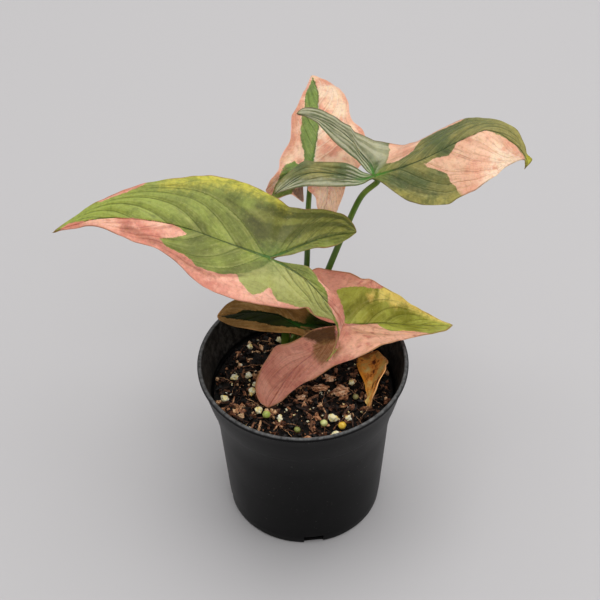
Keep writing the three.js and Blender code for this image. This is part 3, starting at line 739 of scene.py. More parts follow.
def sheet_patch(blade, line_a, line_b, rows, columns, starts, sweep, seam, pleats=0.0, calm=1.0):
    """One patch of the flat blade between two lines, as a grid that carries its vein maps."""
    a, b = smooth_route(line_a, rows), smooth_route(line_b, rows)
    share = np.linspace(0, 1, columns + 1)[None, :, None]
    flat = (a[:, None] * (1 - share) + b[:, None] * share).reshape(-1, 2)
    number, pitch = side_veins(starts, sweep, flat, rows, columns)
    to_rib = np.min([distance_to(flat, rib) for rib in blade["ribs"]], axis=0)
    to_margin = np.min([distance_to(flat, edge) for edge in blade["edges"]], axis=0)
    rib_width = 0.4 + 0.7 * np.exp(-np.linalg.norm(flat, axis=1) / 20)
    to_vein = abs(number - np.round(number)) * pitch
    open_tissue = calm * ease(to_rib / 5) * ease(to_margin / 4) * ease(distance_to(flat, seam) / 5)
    room = np.clip(pitch / 14, 0.1, 1)
    swell = blade["swell"] * open_tissue * room * (1 - np.cos(2 * math.pi * number)) / 2
    groove = vein_groove * np.exp(-((to_vein / 0.8) ** 2)) * open_tissue
    groove += rib_groove * np.exp(-((to_rib / (1.2 * rib_width)) ** 2))
    outward = to_rib / np.maximum(to_rib + to_margin, 1e-6)
    fold = pleats * open_tissue * np.cos(6 * math.pi * outward)
    wander = np.array([noise.noise(Vector((s / 17, t / 17, blade["seed"]))) for s, t in flat])
    ripple = np.array([noise.noise(Vector((s / 6, t / 6, blade["seed"] + 5))) for s, t in flat])
    pucker = np.array([noise.noise(Vector((s / 2.4, t / 2.4, blade["seed"] + 9))) for s, t in flat])
    lift = swell - groove + fold + 0.6 * wander + 0.12 * pucker * ease(to_margin / 2)
    lift = lift + blade["ripple"] * ripple * np.exp(-to_margin / 4)
    pinned = ease(np.linalg.norm(flat, axis=1) / 5)
    points = drape(blade, flat, lift * pinned)
    bpy.ops.object.select_all(action="DESELECT")
    bpy.ops.mesh.primitive_grid_add(x_subdivisions=columns, y_subdivisions=rows, size=1)
    made = bpy.context.object
    mesh = made.data
    spot = np.empty(len(mesh.vertices) * 3)
    mesh.vertices.foreach_get("co", spot)
    column = np.rint((spot[0::3] + 0.5) * columns).astype(int)
    row = np.rint((spot[1::3] + 0.5) * rows).astype(int)
    order = row * (columns + 1) + column
    mesh.vertices.foreach_set("co", (points[order] * MM).ravel())
    corners = np.empty(len(mesh.loops), int)
    mesh.loops.foreach_get("vertex_index", corners)
    while mesh.uv_layers:
        mesh.uv_layers.remove(mesh.uv_layers[0])
    maps = {
        "flat": flat / flat_span + 0.5,
        "veins": np.stack([number, pitch / pitch_span], 1),
        "edges": np.stack([to_rib / edge_span, to_margin / edge_span], 1),
    }
    for name, values in maps.items():
        layer = mesh.uv_layers.new(name=name)
        layer.data.foreach_set("uv", values[order][corners].ravel().astype(np.float32))
    for name, (border, outlines) in blade["marks"].items():
        depth = np.full(len(flat), -50.0)
        for outline in outlines:
            depth = np.maximum(depth, depth_inside(flat, outline))
        if name in blade.get("reversed", ()):
            depth = -depth
        layer = mesh.attributes.new(name, "FLOAT", "POINT")
        layer.data.foreach_set("value", (depth / border)[order].astype(np.float32))
    return made


def join_pieces(pieces):
    """Joins objects into the first."""
    bpy.ops.object.select_all(action="DESELECT")
    for piece in pieces:
        piece.select_set(True)
    bpy.context.view_layer.objects.active = pieces[0]
    bpy.ops.object.join()
    return bpy.context.object


def grow_blade(blade, steps):
    """The whole blade: its patches joined, given a thickness, with ridges under the main ribs."""
    front_rows, lobe_rows, columns, inner_columns = steps
    halves = [blade[side] for side in ("left", "right")]
    blade["ribs"] = [blade["midrib"]] + [half["rib"] for half in halves if "rib" in half]
    blade["edges"] = [
        half[line] for half in halves for line in ("front", "lobe", "inner") if line in half]
    blade["ribs"] = [smooth_route(line, 60) for line in blade["ribs"]]
    blade["edges"] = [smooth_route(line, 60) for line in blade["edges"]]
    patches = []
    lobe_sweep = blade.get("lobe_sweep", (-0.15, -0.25, 2))
    for half in halves:
        seam = [(0, 0), half["front"][-1]]
        patches.append(sheet_patch(blade, blade["midrib"], half["front"], front_rows, columns,
                                   half["veins"], blade["sweep"], seam))
        if "lobe" in half:
            for line, across in (("lobe", columns), ("inner", inner_columns)):
                patches.append(sheet_patch(blade, half["rib"], half[line], lobe_rows, across,
                                           half["lobe_veins"], lobe_sweep, seam,
                                           blade.get("pleats", 0), blade.get("lobe_relief", 1)))
    made = join_pieces(patches)
    bpy.ops.object.mode_set(mode="EDIT")
    bpy.ops.mesh.select_all(action="SELECT")
    bpy.ops.mesh.remove_doubles(threshold=0.02 * MM)
    bpy.ops.mesh.dissolve_degenerate(threshold=0.001 * MM)
    bpy.ops.mesh.select_all(action="SELECT")
    bpy.ops.mesh.normals_make_consistent(inside=False)
    bpy.ops.object.mode_set(mode="OBJECT")
    middle = np.array(blade["midrib"]).mean(axis=0)
    here, above = drape(blade, np.array([middle, middle]), np.array([0.0, 5.0])) * MM
    face = min(made.data.polygons, key=lambda f: (f.center - Vector(here)).length)
    if face.normal.dot(Vector(above - here)) < 0:
        bpy.ops.object.mode_set(mode="EDIT")
        bpy.ops.mesh.select_all(action="SELECT")
        bpy.ops.mesh.flip_normals()
        bpy.ops.object.mode_set(mode="OBJECT")
    skin = made.modifiers.new("blade thickness", "SOLIDIFY")
    skin.thickness = blade_thickness * MM
    skin.offset = 0
    skin.material_offset = 1
    made.data.materials.append(None)
    made.data.materials.append(None)
    apply_all(made)
    ridges = []
    for number, rib in enumerate(blade["ribs"]):
        stretch = np.array(rib)
        if number == 0:
            stretch = stretch[::-1]
        route = drape(blade, stretch, -1.0)
        thickness = np.linspace(*underside_ridge, len(route))
        ridges.append(stalk_mesh("ridge", route, thickness, sides=12))
    for ridge in ridges:
        for name in ("flat", "veins", "edges"):
            ridge.data.uv_layers.new(name=name)
        ridge.data.materials.append(None)
        ridge.data.materials.append(None)
        ridge.data.polygons.foreach_set("material_index", [1] * len(ridge.data.polygons))
    made = join_pieces([made] + ridges)
    shade_soft(made, 55)
    return made


# Living tissue: green and pink areas with an uneven border, streaks that follow the side veins,
# painted pillow shade that darkens the tissue on one side of each side vein and lightens it on
# the other, and bright green veins round the junction. Four more kinds of area, patch, stain,
# wash and pale, take each blade's own silvering, yellowing, bronzing and cream, and on some
# blades painted shade and painted light; each blade's heading says which.
tissue = bpy.data.node_groups.new("arrowhead leaf tissue", "ShaderNodeTree")
tissue_colours = (
    "Green", "Green light", "Green vein", "Heart", "Pink", "Pink light", "Pink vein", "Patch",
    "Patch stripe", "Stain and painted shading", "Wash and painted shading", "Pale and painted shading", "Edge")
# Each effect's socket, and how strong it is where a blade doesn't say.
tissue_effects = {
    "vein": ("Vein strength", 0.4), "pink_vein": ("Pink vein strength", 0.25),
    "fleck": ("Fleck", 0.2), "streaks": ("Streaks", 0.4), "quilting": ("Painted pillow shade", 0.4),
    "tip_light": ("Tip light", 0.2), "pink_wash": ("Pink wash", 0)}
for name in tissue_colours:
    tissue.interface.new_socket(name, in_out="INPUT", socket_type="NodeSocketColor")
for name, _ in tissue_effects.values():
    tissue.interface.new_socket(name, in_out="INPUT", socket_type="NodeSocketFloat")
tissue.interface.new_socket("Colour", in_out="OUTPUT", socket_type="NodeSocketColor")
tissue.interface.new_socket("Height", in_out="OUTPUT", socket_type="NodeSocketFloat")
tissue.interface.new_socket("Roughness", in_out="OUTPUT", socket_type="NodeSocketFloat")
given = tissue.nodes.new("NodeGroupInput").outputs
result = tissue.nodes.new("NodeGroupOutput")


def product(*shares):
    """The tissue's masks or numbers multiplied together."""
    whole = shares[0]
    for share in shares[1:]:
        whole = sums(tissue, "MULTIPLY", whole, share)
    return whole


def fade(tree, value, low, high, top=1.0):
    """0 at low, rising smoothly to top at high; low may be the larger."""
    return node(tree, "ShaderNodeMapRange", {
        "Value": value, "From Min": low, "From Max": high, "To Min": 0.0, "To Max": top},
        interpolation_type="SMOOTHSTEP").outputs["Result"]


def cloud(size, detail=3.0, roughness=0.5):
    """Noise whose features are about size millimetres on the flat blade."""
    return speckle(tissue, pressed, flat_span / size, detail, roughness)


pressed = node(tissue, "ShaderNodeUVMap", uv_map="flat").outputs["UV"]
vein_map = node(tissue, "ShaderNodeSeparateXYZ", {
    0: node(tissue, "ShaderNodeUVMap", uv_map="veins").outputs["UV"]}).outputs
edge_map = node(tissue, "ShaderNodeSeparateXYZ", {
    0: node(tissue, "ShaderNodeUVMap", uv_map="edges").outputs["UV"]}).outputs
past_vein = sums(tissue, "SUBTRACT", vein_map[0], sums(tissue, "ROUND", vein_map[0]))
off_vein = sums(tissue, "ABSOLUTE", past_vein)
vein_mm = product(off_vein, vein_map[1], pitch_span)
rib_mm = product(edge_map[0], edge_span)
margin_mm = product(edge_map[1], edge_span)
junction_mm = product(node(tissue, "ShaderNodeVectorMath", {
    0: pressed, 1: (0.5, 0.5, 0)}, operation="DISTANCE").outputs["Value"], flat_span)
rib_to_margin = sums(tissue, "ADD", sums(tissue, "ADD", rib_mm, margin_mm), 0.001)
outward = sums(tissue, "DIVIDE", rib_mm, rib_to_margin)

broad, medium, small = cloud(16), cloud(4.5, 4), cloud(1.7, 4)
streak_place = node(tissue, "ShaderNodeCombineXYZ", {
    0: product(vein_map[0], 7.0), 1: product(rib_mm, 0.16)}).outputs[0]
streak = speckle(tissue, streak_place, 1, 4)
cell_scale = 75
cells = node(tissue, "ShaderNodeTexVoronoi", {"Vector": pressed, "Scale": cell_scale})
cell_tone = node(tissue, "ShaderNodeSeparateColor", {0: cells.outputs["Color"]}).outputs[0]
netting = node(tissue, "ShaderNodeTexVoronoi", {"Vector": pressed, "Scale": cell_scale},
               feature="DISTANCE_TO_EDGE")
net = fade(tissue, netting.outputs["Distance"], 0.0, 0.14)

rib_width = sums(tissue, "MULTIPLY_ADD", fade(tissue, junction_mm, 34, 0), 0.5, 0.3)
is_rib = fade(tissue, sums(tissue, "DIVIDE", rib_mm, rib_width), 1.25, 0.6)
side_vein = product(fade(tissue, vein_mm, 0.45, 0.08), fade(tissue, margin_mm, 1.2, 4.0))
collector_line = sums(tissue, "MULTIPLY_ADD", medium, 1.6, 2.6)
off_collector = sums(tissue, "ABSOLUTE", sums(tissue, "SUBTRACT", margin_mm, collector_line))
collector = fade(tissue, off_collector, 0.35, 0.05, 0.45)
is_vein = sums(tissue, "MAXIMUM", side_vein, collector)
# Painted pillow shade: the tissue on one side of each side vein is darkened and on the other
# lightened, as shade and light on the swelling between veins.
quilt = product(given["Painted pillow shade"], fade(tissue, margin_mm, 1.5, 7))
quilt = product(quilt, fade(tissue, vein_map[1], 0.08, 0.4))
shaded_vein_side = product(fade(tissue, past_vein, 0.0, 0.05), fade(tissue, past_vein, 0.46, 0.05))
lit_vein_side = product(fade(tissue, past_vein, 0.0, -0.05), fade(tissue, past_vein, -0.4, -0.05))
jag = sums(tissue, "ADD", sums(tissue, "MULTIPLY_ADD", cloud(3.2, 2), 2.4, -1.2),
           sums(tissue, "MULTIPLY_ADD", cloud(0.9, 2), 1.2, -0.6))


def area_mask(name, unevenness):
    """Where a marked area lies, with a wandering border; 1 is one border's width inside."""
    depth = node(tissue, "ShaderNodeAttribute", attribute_name=name).outputs["Fac"]
    return fade(tissue, sums(tissue, "MULTIPLY_ADD", jag, unevenness, depth), -1, 1)


pink_area = area_mask("pink", 3.2)
# Patch, stain, wash and pale hold real colour on some blades and painted shade and light on others.
patch_area, stain_and_painted_shading_area, wash_and_painted_shading_area, pale_and_painted_shading_area = (
    area_mask(name, 0.9) for name in ("patch", "stain", "wash", "pale"))

green = mixed(tissue, fade(tissue, broad, 0.36, 0.66, 0.6), given["Green"], given["Green light"])
toward_tip = product(fade(tissue, junction_mm, 35, 90), given["Tip light"])
green = mixed(tissue, toward_tip, green, given["Green light"])
green = mixed(tissue, fade(tissue, medium, 0.47, 0.3, 0.32), green, given["Green vein"])
stripe_wave = sums(tissue, "SINE", sums(tissue, "MULTIPLY_ADD", outward, 19.0, sums(
    tissue, "MULTIPLY_ADD", medium, 2.4, 1.5)))
striped = mixed(tissue, fade(tissue, stripe_wave, -0.5, 0.7), given["Patch"], given["Patch stripe"])
striped = mixed(tissue, fade(tissue, broad, 0.4, 0.62, 0.5), striped, given["Patch"])
green = mixed(tissue, product(patch_area, 0.9), green, striped)
mottled = fade(tissue, sums(tissue, "ADD", medium, product(small, 0.4)), 0.8, 0.55)
yellowed = mixed(tissue, product(mottled, 0.6), given["Stain and painted shading"], green)
green = mixed(tissue, stain_and_painted_shading_area, green, yellowed)
green = mixed(tissue, product(wash_and_painted_shading_area, 0.85), green, given["Wash and painted shading"])
heart = fade(tissue, junction_mm, 13, 2)
vein_colour = mixed(tissue, heart, given["Green vein"], given["Heart"])
green = mixed(tissue, product(is_vein, given["Vein strength"]), green, vein_colour)
green = mixed(tissue, product(heart, 0.3), green, given["Heart"])
green = mixed(tissue, product(is_rib, 0.85), green, vein_colour)

pink = mixed(tissue, fade(tissue, broad, 0.38, 0.62), given["Pink"], given["Pink light"])
pink = mixed(tissue, fade(tissue, medium, 0.5, 0.66, 0.55), pink, given["Pink light"])
pink = mixed(tissue, fade(tissue, medium, 0.46, 0.32, 0.55), pink, given["Pink"])
pink = mixed(tissue, fade(tissue, margin_mm, 3.0, 0.3, 0.45), pink, given["Pink"])
pink = mixed(tissue, product(pale_and_painted_shading_area, fade(tissue, medium, 0.3, 0.5)), pink, given["Pale and painted shading"])
fleck = fade(tissue, cloud(2.6, 5, 0.65), 0.6, 0.68)
pink = mixed(tissue, product(fleck, given["Fleck"]), pink, given["Green light"])
pink = mixed(tissue, product(is_vein, given["Pink vein strength"]), pink, given["Pink vein"])
pink = mixed(tissue, product(is_rib, 0.6), pink, given["Pink vein"])
pink = mixed(tissue, product(stain_and_painted_shading_area, 0.97), pink, given["Stain and painted shading"])
pink = mixed(tissue, product(wash_and_painted_shading_area, given["Pink wash"]), pink, given["Wash and painted shading"])
whole = mixed(tissue, pink_area, green, pink)

# Streaks and cells deepen or lift the colour, and so does the painted pillow shade beside the
# side veins; only what isn't dark is lifted.
deepened, lifted = (0.42, 0.38, 0.3, 1), (0.17, 0.15, 0.07, 1)
streaky = sums(tissue, "MULTIPLY_ADD", wash_and_painted_shading_area, 0.3, given["Streaks"])
not_dark = fade(tissue, node(tissue, "ShaderNodeRGBToBW", {0: whole}).outputs[0], 0.0, 0.2)
for share in (
        product(fade(tissue, streak, 0.5, 0.3), streaky),
        product(shaded_vein_side, quilt),
        product(cell_tone, 0.08),
        fade(tissue, small, 0.5, 0.32, 0.24),
        fade(tissue, net, 1.0, 0.0, 0.08)):
    whole = mixed(tissue, share, whole, deepened, "MULTIPLY")
for share in (
        product(fade(tissue, streak, 0.5, 0.7), streaky),
        product(lit_vein_side, quilt),
        fade(tissue, small, 0.5, 0.68, 0.26)):
    whole = mixed(tissue, product(share, not_dark), whole, lifted, "SCREEN")
pale_speck = product(fade(tissue, cloud(0.7, 2), 0.7, 0.75, 0.45), not_dark)
whole = mixed(tissue, pale_speck, whole, rgb(222, 214, 170))
margin_line = product(fade(tissue, margin_mm, 0.75, 0.15), fade(tissue, broad, 0.35, 0.6, 0.75))
whole = mixed(tissue, margin_line, whole, given["Edge"])
tissue.links.new(whole, result.inputs["Colour"])
height = sums(tissue, "MULTIPLY_ADD", is_vein, -0.9, product(net, 0.22))
height = sums(tissue, "MULTIPLY_ADD", is_rib, -1.0, height)
height = sums(tissue, "MULTIPLY_ADD", streak, 0.9, height)
height = sums(tissue, "MULTIPLY_ADD", small, 0.5, height)
tissue.links.new(height, result.inputs["Height"])
tissue.links.new(sums(tissue, "MULTIPLY_ADD", small, 0.2, 0.34), result.inputs["Roughness"])


def leaf_finish(name, colours, relief=0.45, gloss=0.3, through=0.4, **strengths):
    """One side of a blade in its own colours; thin tissue lets light through."""
    finish, tree, surface = new_finish(
        name, Subsurface_Weight=through, Subsurface_Scale=MM, Subsurface_Radius=(1.5, 1.1, 0.5),
        Specular_IOR_Level=gloss)
    skin = tree.nodes.new("ShaderNodeGroup")
    skin.node_tree = tissue
    for socket, colour in colours.items():
        skin.inputs[socket].default_value = rgb(*colour)
    for effect, (socket, usual) in tissue_effects.items():
        skin.inputs[socket].default_value = strengths.get(effect, usual)
    tree.links.new(skin.outputs["Colour"], surface.inputs["Base Color"])
    tree.links.new(skin.outputs["Roughness"], surface.inputs["Roughness"])
    bump(tree, surface, skin.outputs["Height"], relief, 0.5)
    return finish


def dress_blade(made, name, solid, upper, lower):
    """Gives a blade its two sides and its solid's place."""
    seat(made, name, None, solid, solid)
    made.data.materials[0] = upper
    made.data.materials[1] = lower


def paler(colours, share, toward):
    """Each colour moved toward another by a share, for a blade's underside."""
    return {key: tuple(c * (1 - share) + t * share for c, t in zip(colour, toward))
            for key, colour in colours.items()}


# ---------------------------------------------------------------- large left leaf
# The biggest blade, tip to the left. Olive green, yellow toward its far margin; the near half
# has a broad pink margin, and a pink band hems the near basal lobe, which hangs down. Its wash
# is painted light on the near lobe, and its pale area, darker than its pink, is painted shade
# where the pink margin folds.
large_left = {
    "junction": (-14.7, 10, 162), "heading": 172, "pitch": 14, "roll": -20, "fold": 5,
    "bends": [((-46, 25), 180, 3, 60), ((0, -24), -90, 30, 35, -8, 20), ((-8, 12), 128, 25, 42),
              ((-12, -14), -142, 50, 12), ((45, 0), 0, 90, 28)],
    "midrib": [(111.5, 6), (88, -2), (73, -3), (59, -4), (41, -4), (21, -2), (0, 0)],
    "left": {
        "front": [(111.5, 6), (100, 4), (89, 2.5), (76, 6), (65, 9.5), (55, 10.5), (43, 16),
                  (36, 21), (28, 25), (14, 27.5), (5, 26.5), (-9, 24)],
        "lobe": [(-9, 24), (-18, 22), (-24, 19.5), (-29, 22), (-36, 21.5), (-41, 22), (-45, 25),
                 (-47.5, 30), (-47.5, 36), (-45.5, 42)],
        "rib": [(0, 0), (-16, 5), (-31, 13), (-44, 19), (-50, 28), (-49.5, 36), (-45.5, 42)],
        "inner": [(0, 0), (-7, 0.5), (-16, -0.5), (-20, 0), (-25, 4), (-32, 7.5), (-37, 9.5),
                  (-42, 13), (-48, 17), (-53, 23), (-55, 31), (-52, 38), (-45.5, 42)],
        "veins": [0.12, 0.26, 0.4, 0.55, 0.7, 0.86, 0.97],
        "lobe_veins": [0.1, 0.26, 0.42, 0.58, 0.75],
    },
    "right": {
        "front": [(111.5, 6), (101, -3), (91, -11), (71, -21.5), (55, -28), (38, -34.5),
                  (23, -35.5), (12, -34), (-3, -30)],
        "lobe": [(-3, -30), (-10, -31), (-17, -34), (-29, -36.5), (-36, -34), (-39.5, -29)],
        "rib": [(0, 0), (-12.5, -10.5), (-26, -21), (-39.5, -29)],
        "inner": [(0, 0), (-10, -5), (-19.5, -11), (-28.5, -15.5), (-35.5, -23), (-39.5, -29)],
        "veins": [0.12, 0.24, 0.38, 0.53, 0.69, 0.845, 0.97], "lobe_veins": [0.16, 0.4, 0.62, 0.82],
    },
    "sweep": (0.33, 0.5, 4), "swell": 0.9, "ripple": 0.8, "seed": 1,
    "marks": {
        "pink": (0.22, [
            [(107.5, 4.5), (103, 1), (92, -1), (79, -3), (65, -4), (49, -4), (42, -1), (47, 2),
             (55, 5), (51, 8), (43, 10), (38, 12), (34, 15), (27, 15.8), (22.8, 16.5),
             (14.3, 13.3), (12.7, 17), (9, 20.6), (5, 22.8), (1, 20.5), (-2.6, 15.8),
             (-4.6, 18.6), (-7.6, 21), (-18, 20.7), (-24.3, 19.4), (-22, 30), (20, 36), (60, 20),
             (100, 14), (107.5, 12)],
            [(-23, 2.9), (-26, 5.6), (-31, 9), (-33, 14), (-37, 17), (-44, 22), (-48, 27),
             (-47, 31), (-48, 36), (-46, 42), (-60, 44), (-62, 20), (-45, 6), (-28, -2)],
            [(90, -10.6), (84, -13.4), (77, -16.8), (68, -22), (66, -26), (84, -19), (93, -13)],
        ]),
        "patch": (4, [[(-6, -10), (-16, -12), (-27, -20), (-37, -27), (-44, -28), (-40, -44),
                       (-12, -44), (2, -30), (12, -26), (17, -17), (10, -10), (0, -7)]]),
        "stain": (4, [[(60, -22), (50, -25), (36, -29), (22, -30), (8, -29), (-2, -27), (-6, -38),
                       (12, -46), (42, -46), (64, -36)]]),
        # The wash is painted light: a lighter green on the hanging near lobe.
        "wash": (0.5, [[(-1, 1), (4, 7), (9, 11), (14.3, 13.4), (13, 18), (6, 25), (-10, 26),
                (-24, 26), (-36, 30), (-46, 40), (-44, 26), (-34, 13), (-20, 6), (-10, 2)]]),
        # The pale area is painted shade: a darker pink band where the pink margin folds.
        "pale": (1.6, [[(74, -1), (64, 3), (54, 6), (46, 10), (38, 13), (30, 16), (22, 17),
                (24, 20), (34, 18.5), (44, 14.5), (54, 9.5), (64, 7), (74, 4)]]),
    },
}
green_olive = {
    "Green": (112, 122, 44), "Green light": (158, 172, 76), "Green vein": (62, 82, 22),
    "Heart": (40, 98, 18), "Pink": (214, 136, 116), "Pink light": (252, 188, 164),
    "Pink vein": (196, 112, 90), "Patch": (86, 90, 30), "Patch stripe": (134, 136, 58),
    # Wash paints light on the near lobe, and Pale, darker than Pink, paints shade in the margin's
    # fold.
    "Stain and painted shading": (198, 190, 72), "Wash and painted shading": (170, 172, 100),
    "Pale and painted shading": (184, 118, 98), "Edge": (140, 88, 60)}
leaf_piece = grow_blade(large_left, (120, 64, 26, 10))
dress_blade(
    leaf_piece, "blade_large_left", "leaf_large_left",
    leaf_finish("large leaf, upper side", green_olive, vein=0.4, quilting=0.42, tip_light=0.95),
    leaf_finish("large leaf, underside", paler(green_olive, 0.35, (168, 150, 130)), relief=0.5))

# ---------------------------------------------------------------- back leaf
# Stands behind the rest, tip away: peach pink, with a green stripe along the left of the midrib
# that runs out into the left basal lobe. Both basal lobes hang, then flare forward. Its wash
# darkens the pink of the left half and its stain the inner left lobe, both painted shade, and
# its pale area lightens the hanging right lobe as painted light.
back_leaf = {
    "junction": (5.9, 60, 178.8), "heading": 88, "pitch": 6, "roll": 0, "fold": 0,
    "bends": [((-12, 0), 180, 5, -46), ((-2.5, 0), 180, 5, 72), ((-3, -10), -110, 20, 20),
              ((-3, 8), 118, 20, 30), ((30, 0), 0, 90, 22)],
    "midrib": [(82, 1.5), (64, -2), (47, -3), (30, -3.3), (20, -2.7), (7, -1.4), (0, 0)],
    "left": {
        "front": [(82, 1.5), (70, 3), (60, 4.5), (51, 6.5), (43, 8), (35.5, 10.5), (25.5, 10.7),
                  (17, 11), (10.5, 13.5), (3.5, 16)],
        "lobe": [(3.5, 16), (-3, 16.7), (-6.7, 22.4), (-12, 27.5)],
        "rib": [(0, 0), (-3.8, 8), (-7.3, 17.5), (-12, 27.5)],
        "inner": [(0, 0), (-6.1, 3), (-12.1, 3.9), (-17.3, 3.9), (-21, 5.7), (-20.1, 9.3),
                  (-17.6, 14.3), (-17.4, 18.9), (-17.7, 23), (-15.5, 26.3), (-12, 27.5)],
        "veins": [0.15, 0.3, 0.45, 0.6, 0.74, 0.87, 0.98], "lobe_veins": [0.2, 0.45, 0.7],
    },
    "right": {
        "front": [(82, 1.5), (80, -3), (73, -8.5), (63, -13.7), (49.3, -18.3), (38, -19.3),
                  (31, -21.2), (26, -26.2), (15, -28), (4, -26)],
        "lobe": [(4, -26), (-3.9, -21.6), (-7.5, -19.5), (-14.9, -19.7), (-22, -18.4),
                 (-26.7, -16.8), (-31.2, -10.5)],
        "rib": [(0, 0), (-7.6, -6), (-18.9, -9.8), (-31.2, -10.5)],
        "inner": [(0, 0), (-6.1, 0.4), (-11.2, 1.3), (-14.2, 1.5), (-16.4, -1.1), (-18.7, -2.6),
                  (-23.8, -3.4), (-28.8, -7.6), (-31.2, -10.5)],
        "veins": [0.13, 0.28, 0.44, 0.58, 0.72, 0.87, 0.98], "lobe_veins": [0.15, 0.35, 0.55, 0.75],
    },
    "sweep": (0.3, 0.4, 4), "swell": 0.8, "ripple": 0.8, "seed": 2, "reversed": ("pink",),
    "marks": {
        "pink": (0.22, [
            [(80, 0.4), (68, 2), (53, 4), (43, 4.2), (38, 5), (27.5, 5.6), (20, 6), (13, 4.6),
             (7.5, 3.4), (3, 3.6), (0, 6), (3, 8.5), (-0.8, 13.4), (-3.3, 14.8), (-6.6, 16.9),
             (-11.6, 22.4), (-16.5, 26.2), (-20.3, 21.8), (-18.6, 16.5), (-15.8, 12.1),
             (-10.9, 5.5), (-5.5, 2.4), (-2, -1), (4.3, -1.6), (11.4, -2.1), (17.8, -2.7),
             (27.5, -3.6), (42, -3), (50, -3), (57, -3), (73, -1)],
        ]),
        "patch": (2, []),
        # The stain is painted shade on the inner part of the left lobe.
        "stain": (0.8, [[(-14.9, 12.7), (-17.3, 11.3), (-19.4, 10.3), (-22.2, 7.2), (-21.9, 2.7),
                         (-11.6, 2.6), (-13.1, 7.6)]]),
        # The wash is painted shade, darkening the pink of the left half.
        "wash": (3, [[(46, 5), (34, 6), (24, 7), (12, 8), (4, 12), (-6, 18), (4, 20), (18, 14),
                (36, 12), (48, 9)]]),
        # The pale area is painted light, lightening the hanging right lobe.
        "pale": (3, [[(-8.5, -2.9), (-11.2, -17.6), (-22.2, -20.9), (-35, -14), (-34, -6),
                (-19.8, -0.9)]]),
    },
}
peach_pink = {
    "Green": (106, 130, 56), "Green light": (138, 162, 78), "Green vein": (84, 106, 42),
    "Heart": (66, 124, 30), "Pink": (226, 158, 132), "Pink light": (252, 210, 182),
    "Pink vein": (253, 228, 204), "Patch": (120, 140, 70), "Patch stripe": (120, 140, 70),
    # Stain and Wash are painted shade and Pale is painted light, as in the marks above.
    "Stain and painted shading": (128, 100, 84), "Wash and painted shading": (196, 138, 112), "Pale and painted shading": (255, 206, 184),
    "Edge": (234, 170, 150)}
leaf_piece = grow_blade(back_leaf, (90, 44, 22, 12))
dress_blade(
    leaf_piece, "blade_back", "leaf_back",
    leaf_finish("back leaf, upper side", peach_pink, through=0.75, fleck=0.15, pink_vein=0.5,
                quilting=0.3, pink_wash=0.8),
    leaf_finish("back leaf, underside", paler(peach_pink, 0.5, (150, 112, 96)), relief=0.5))

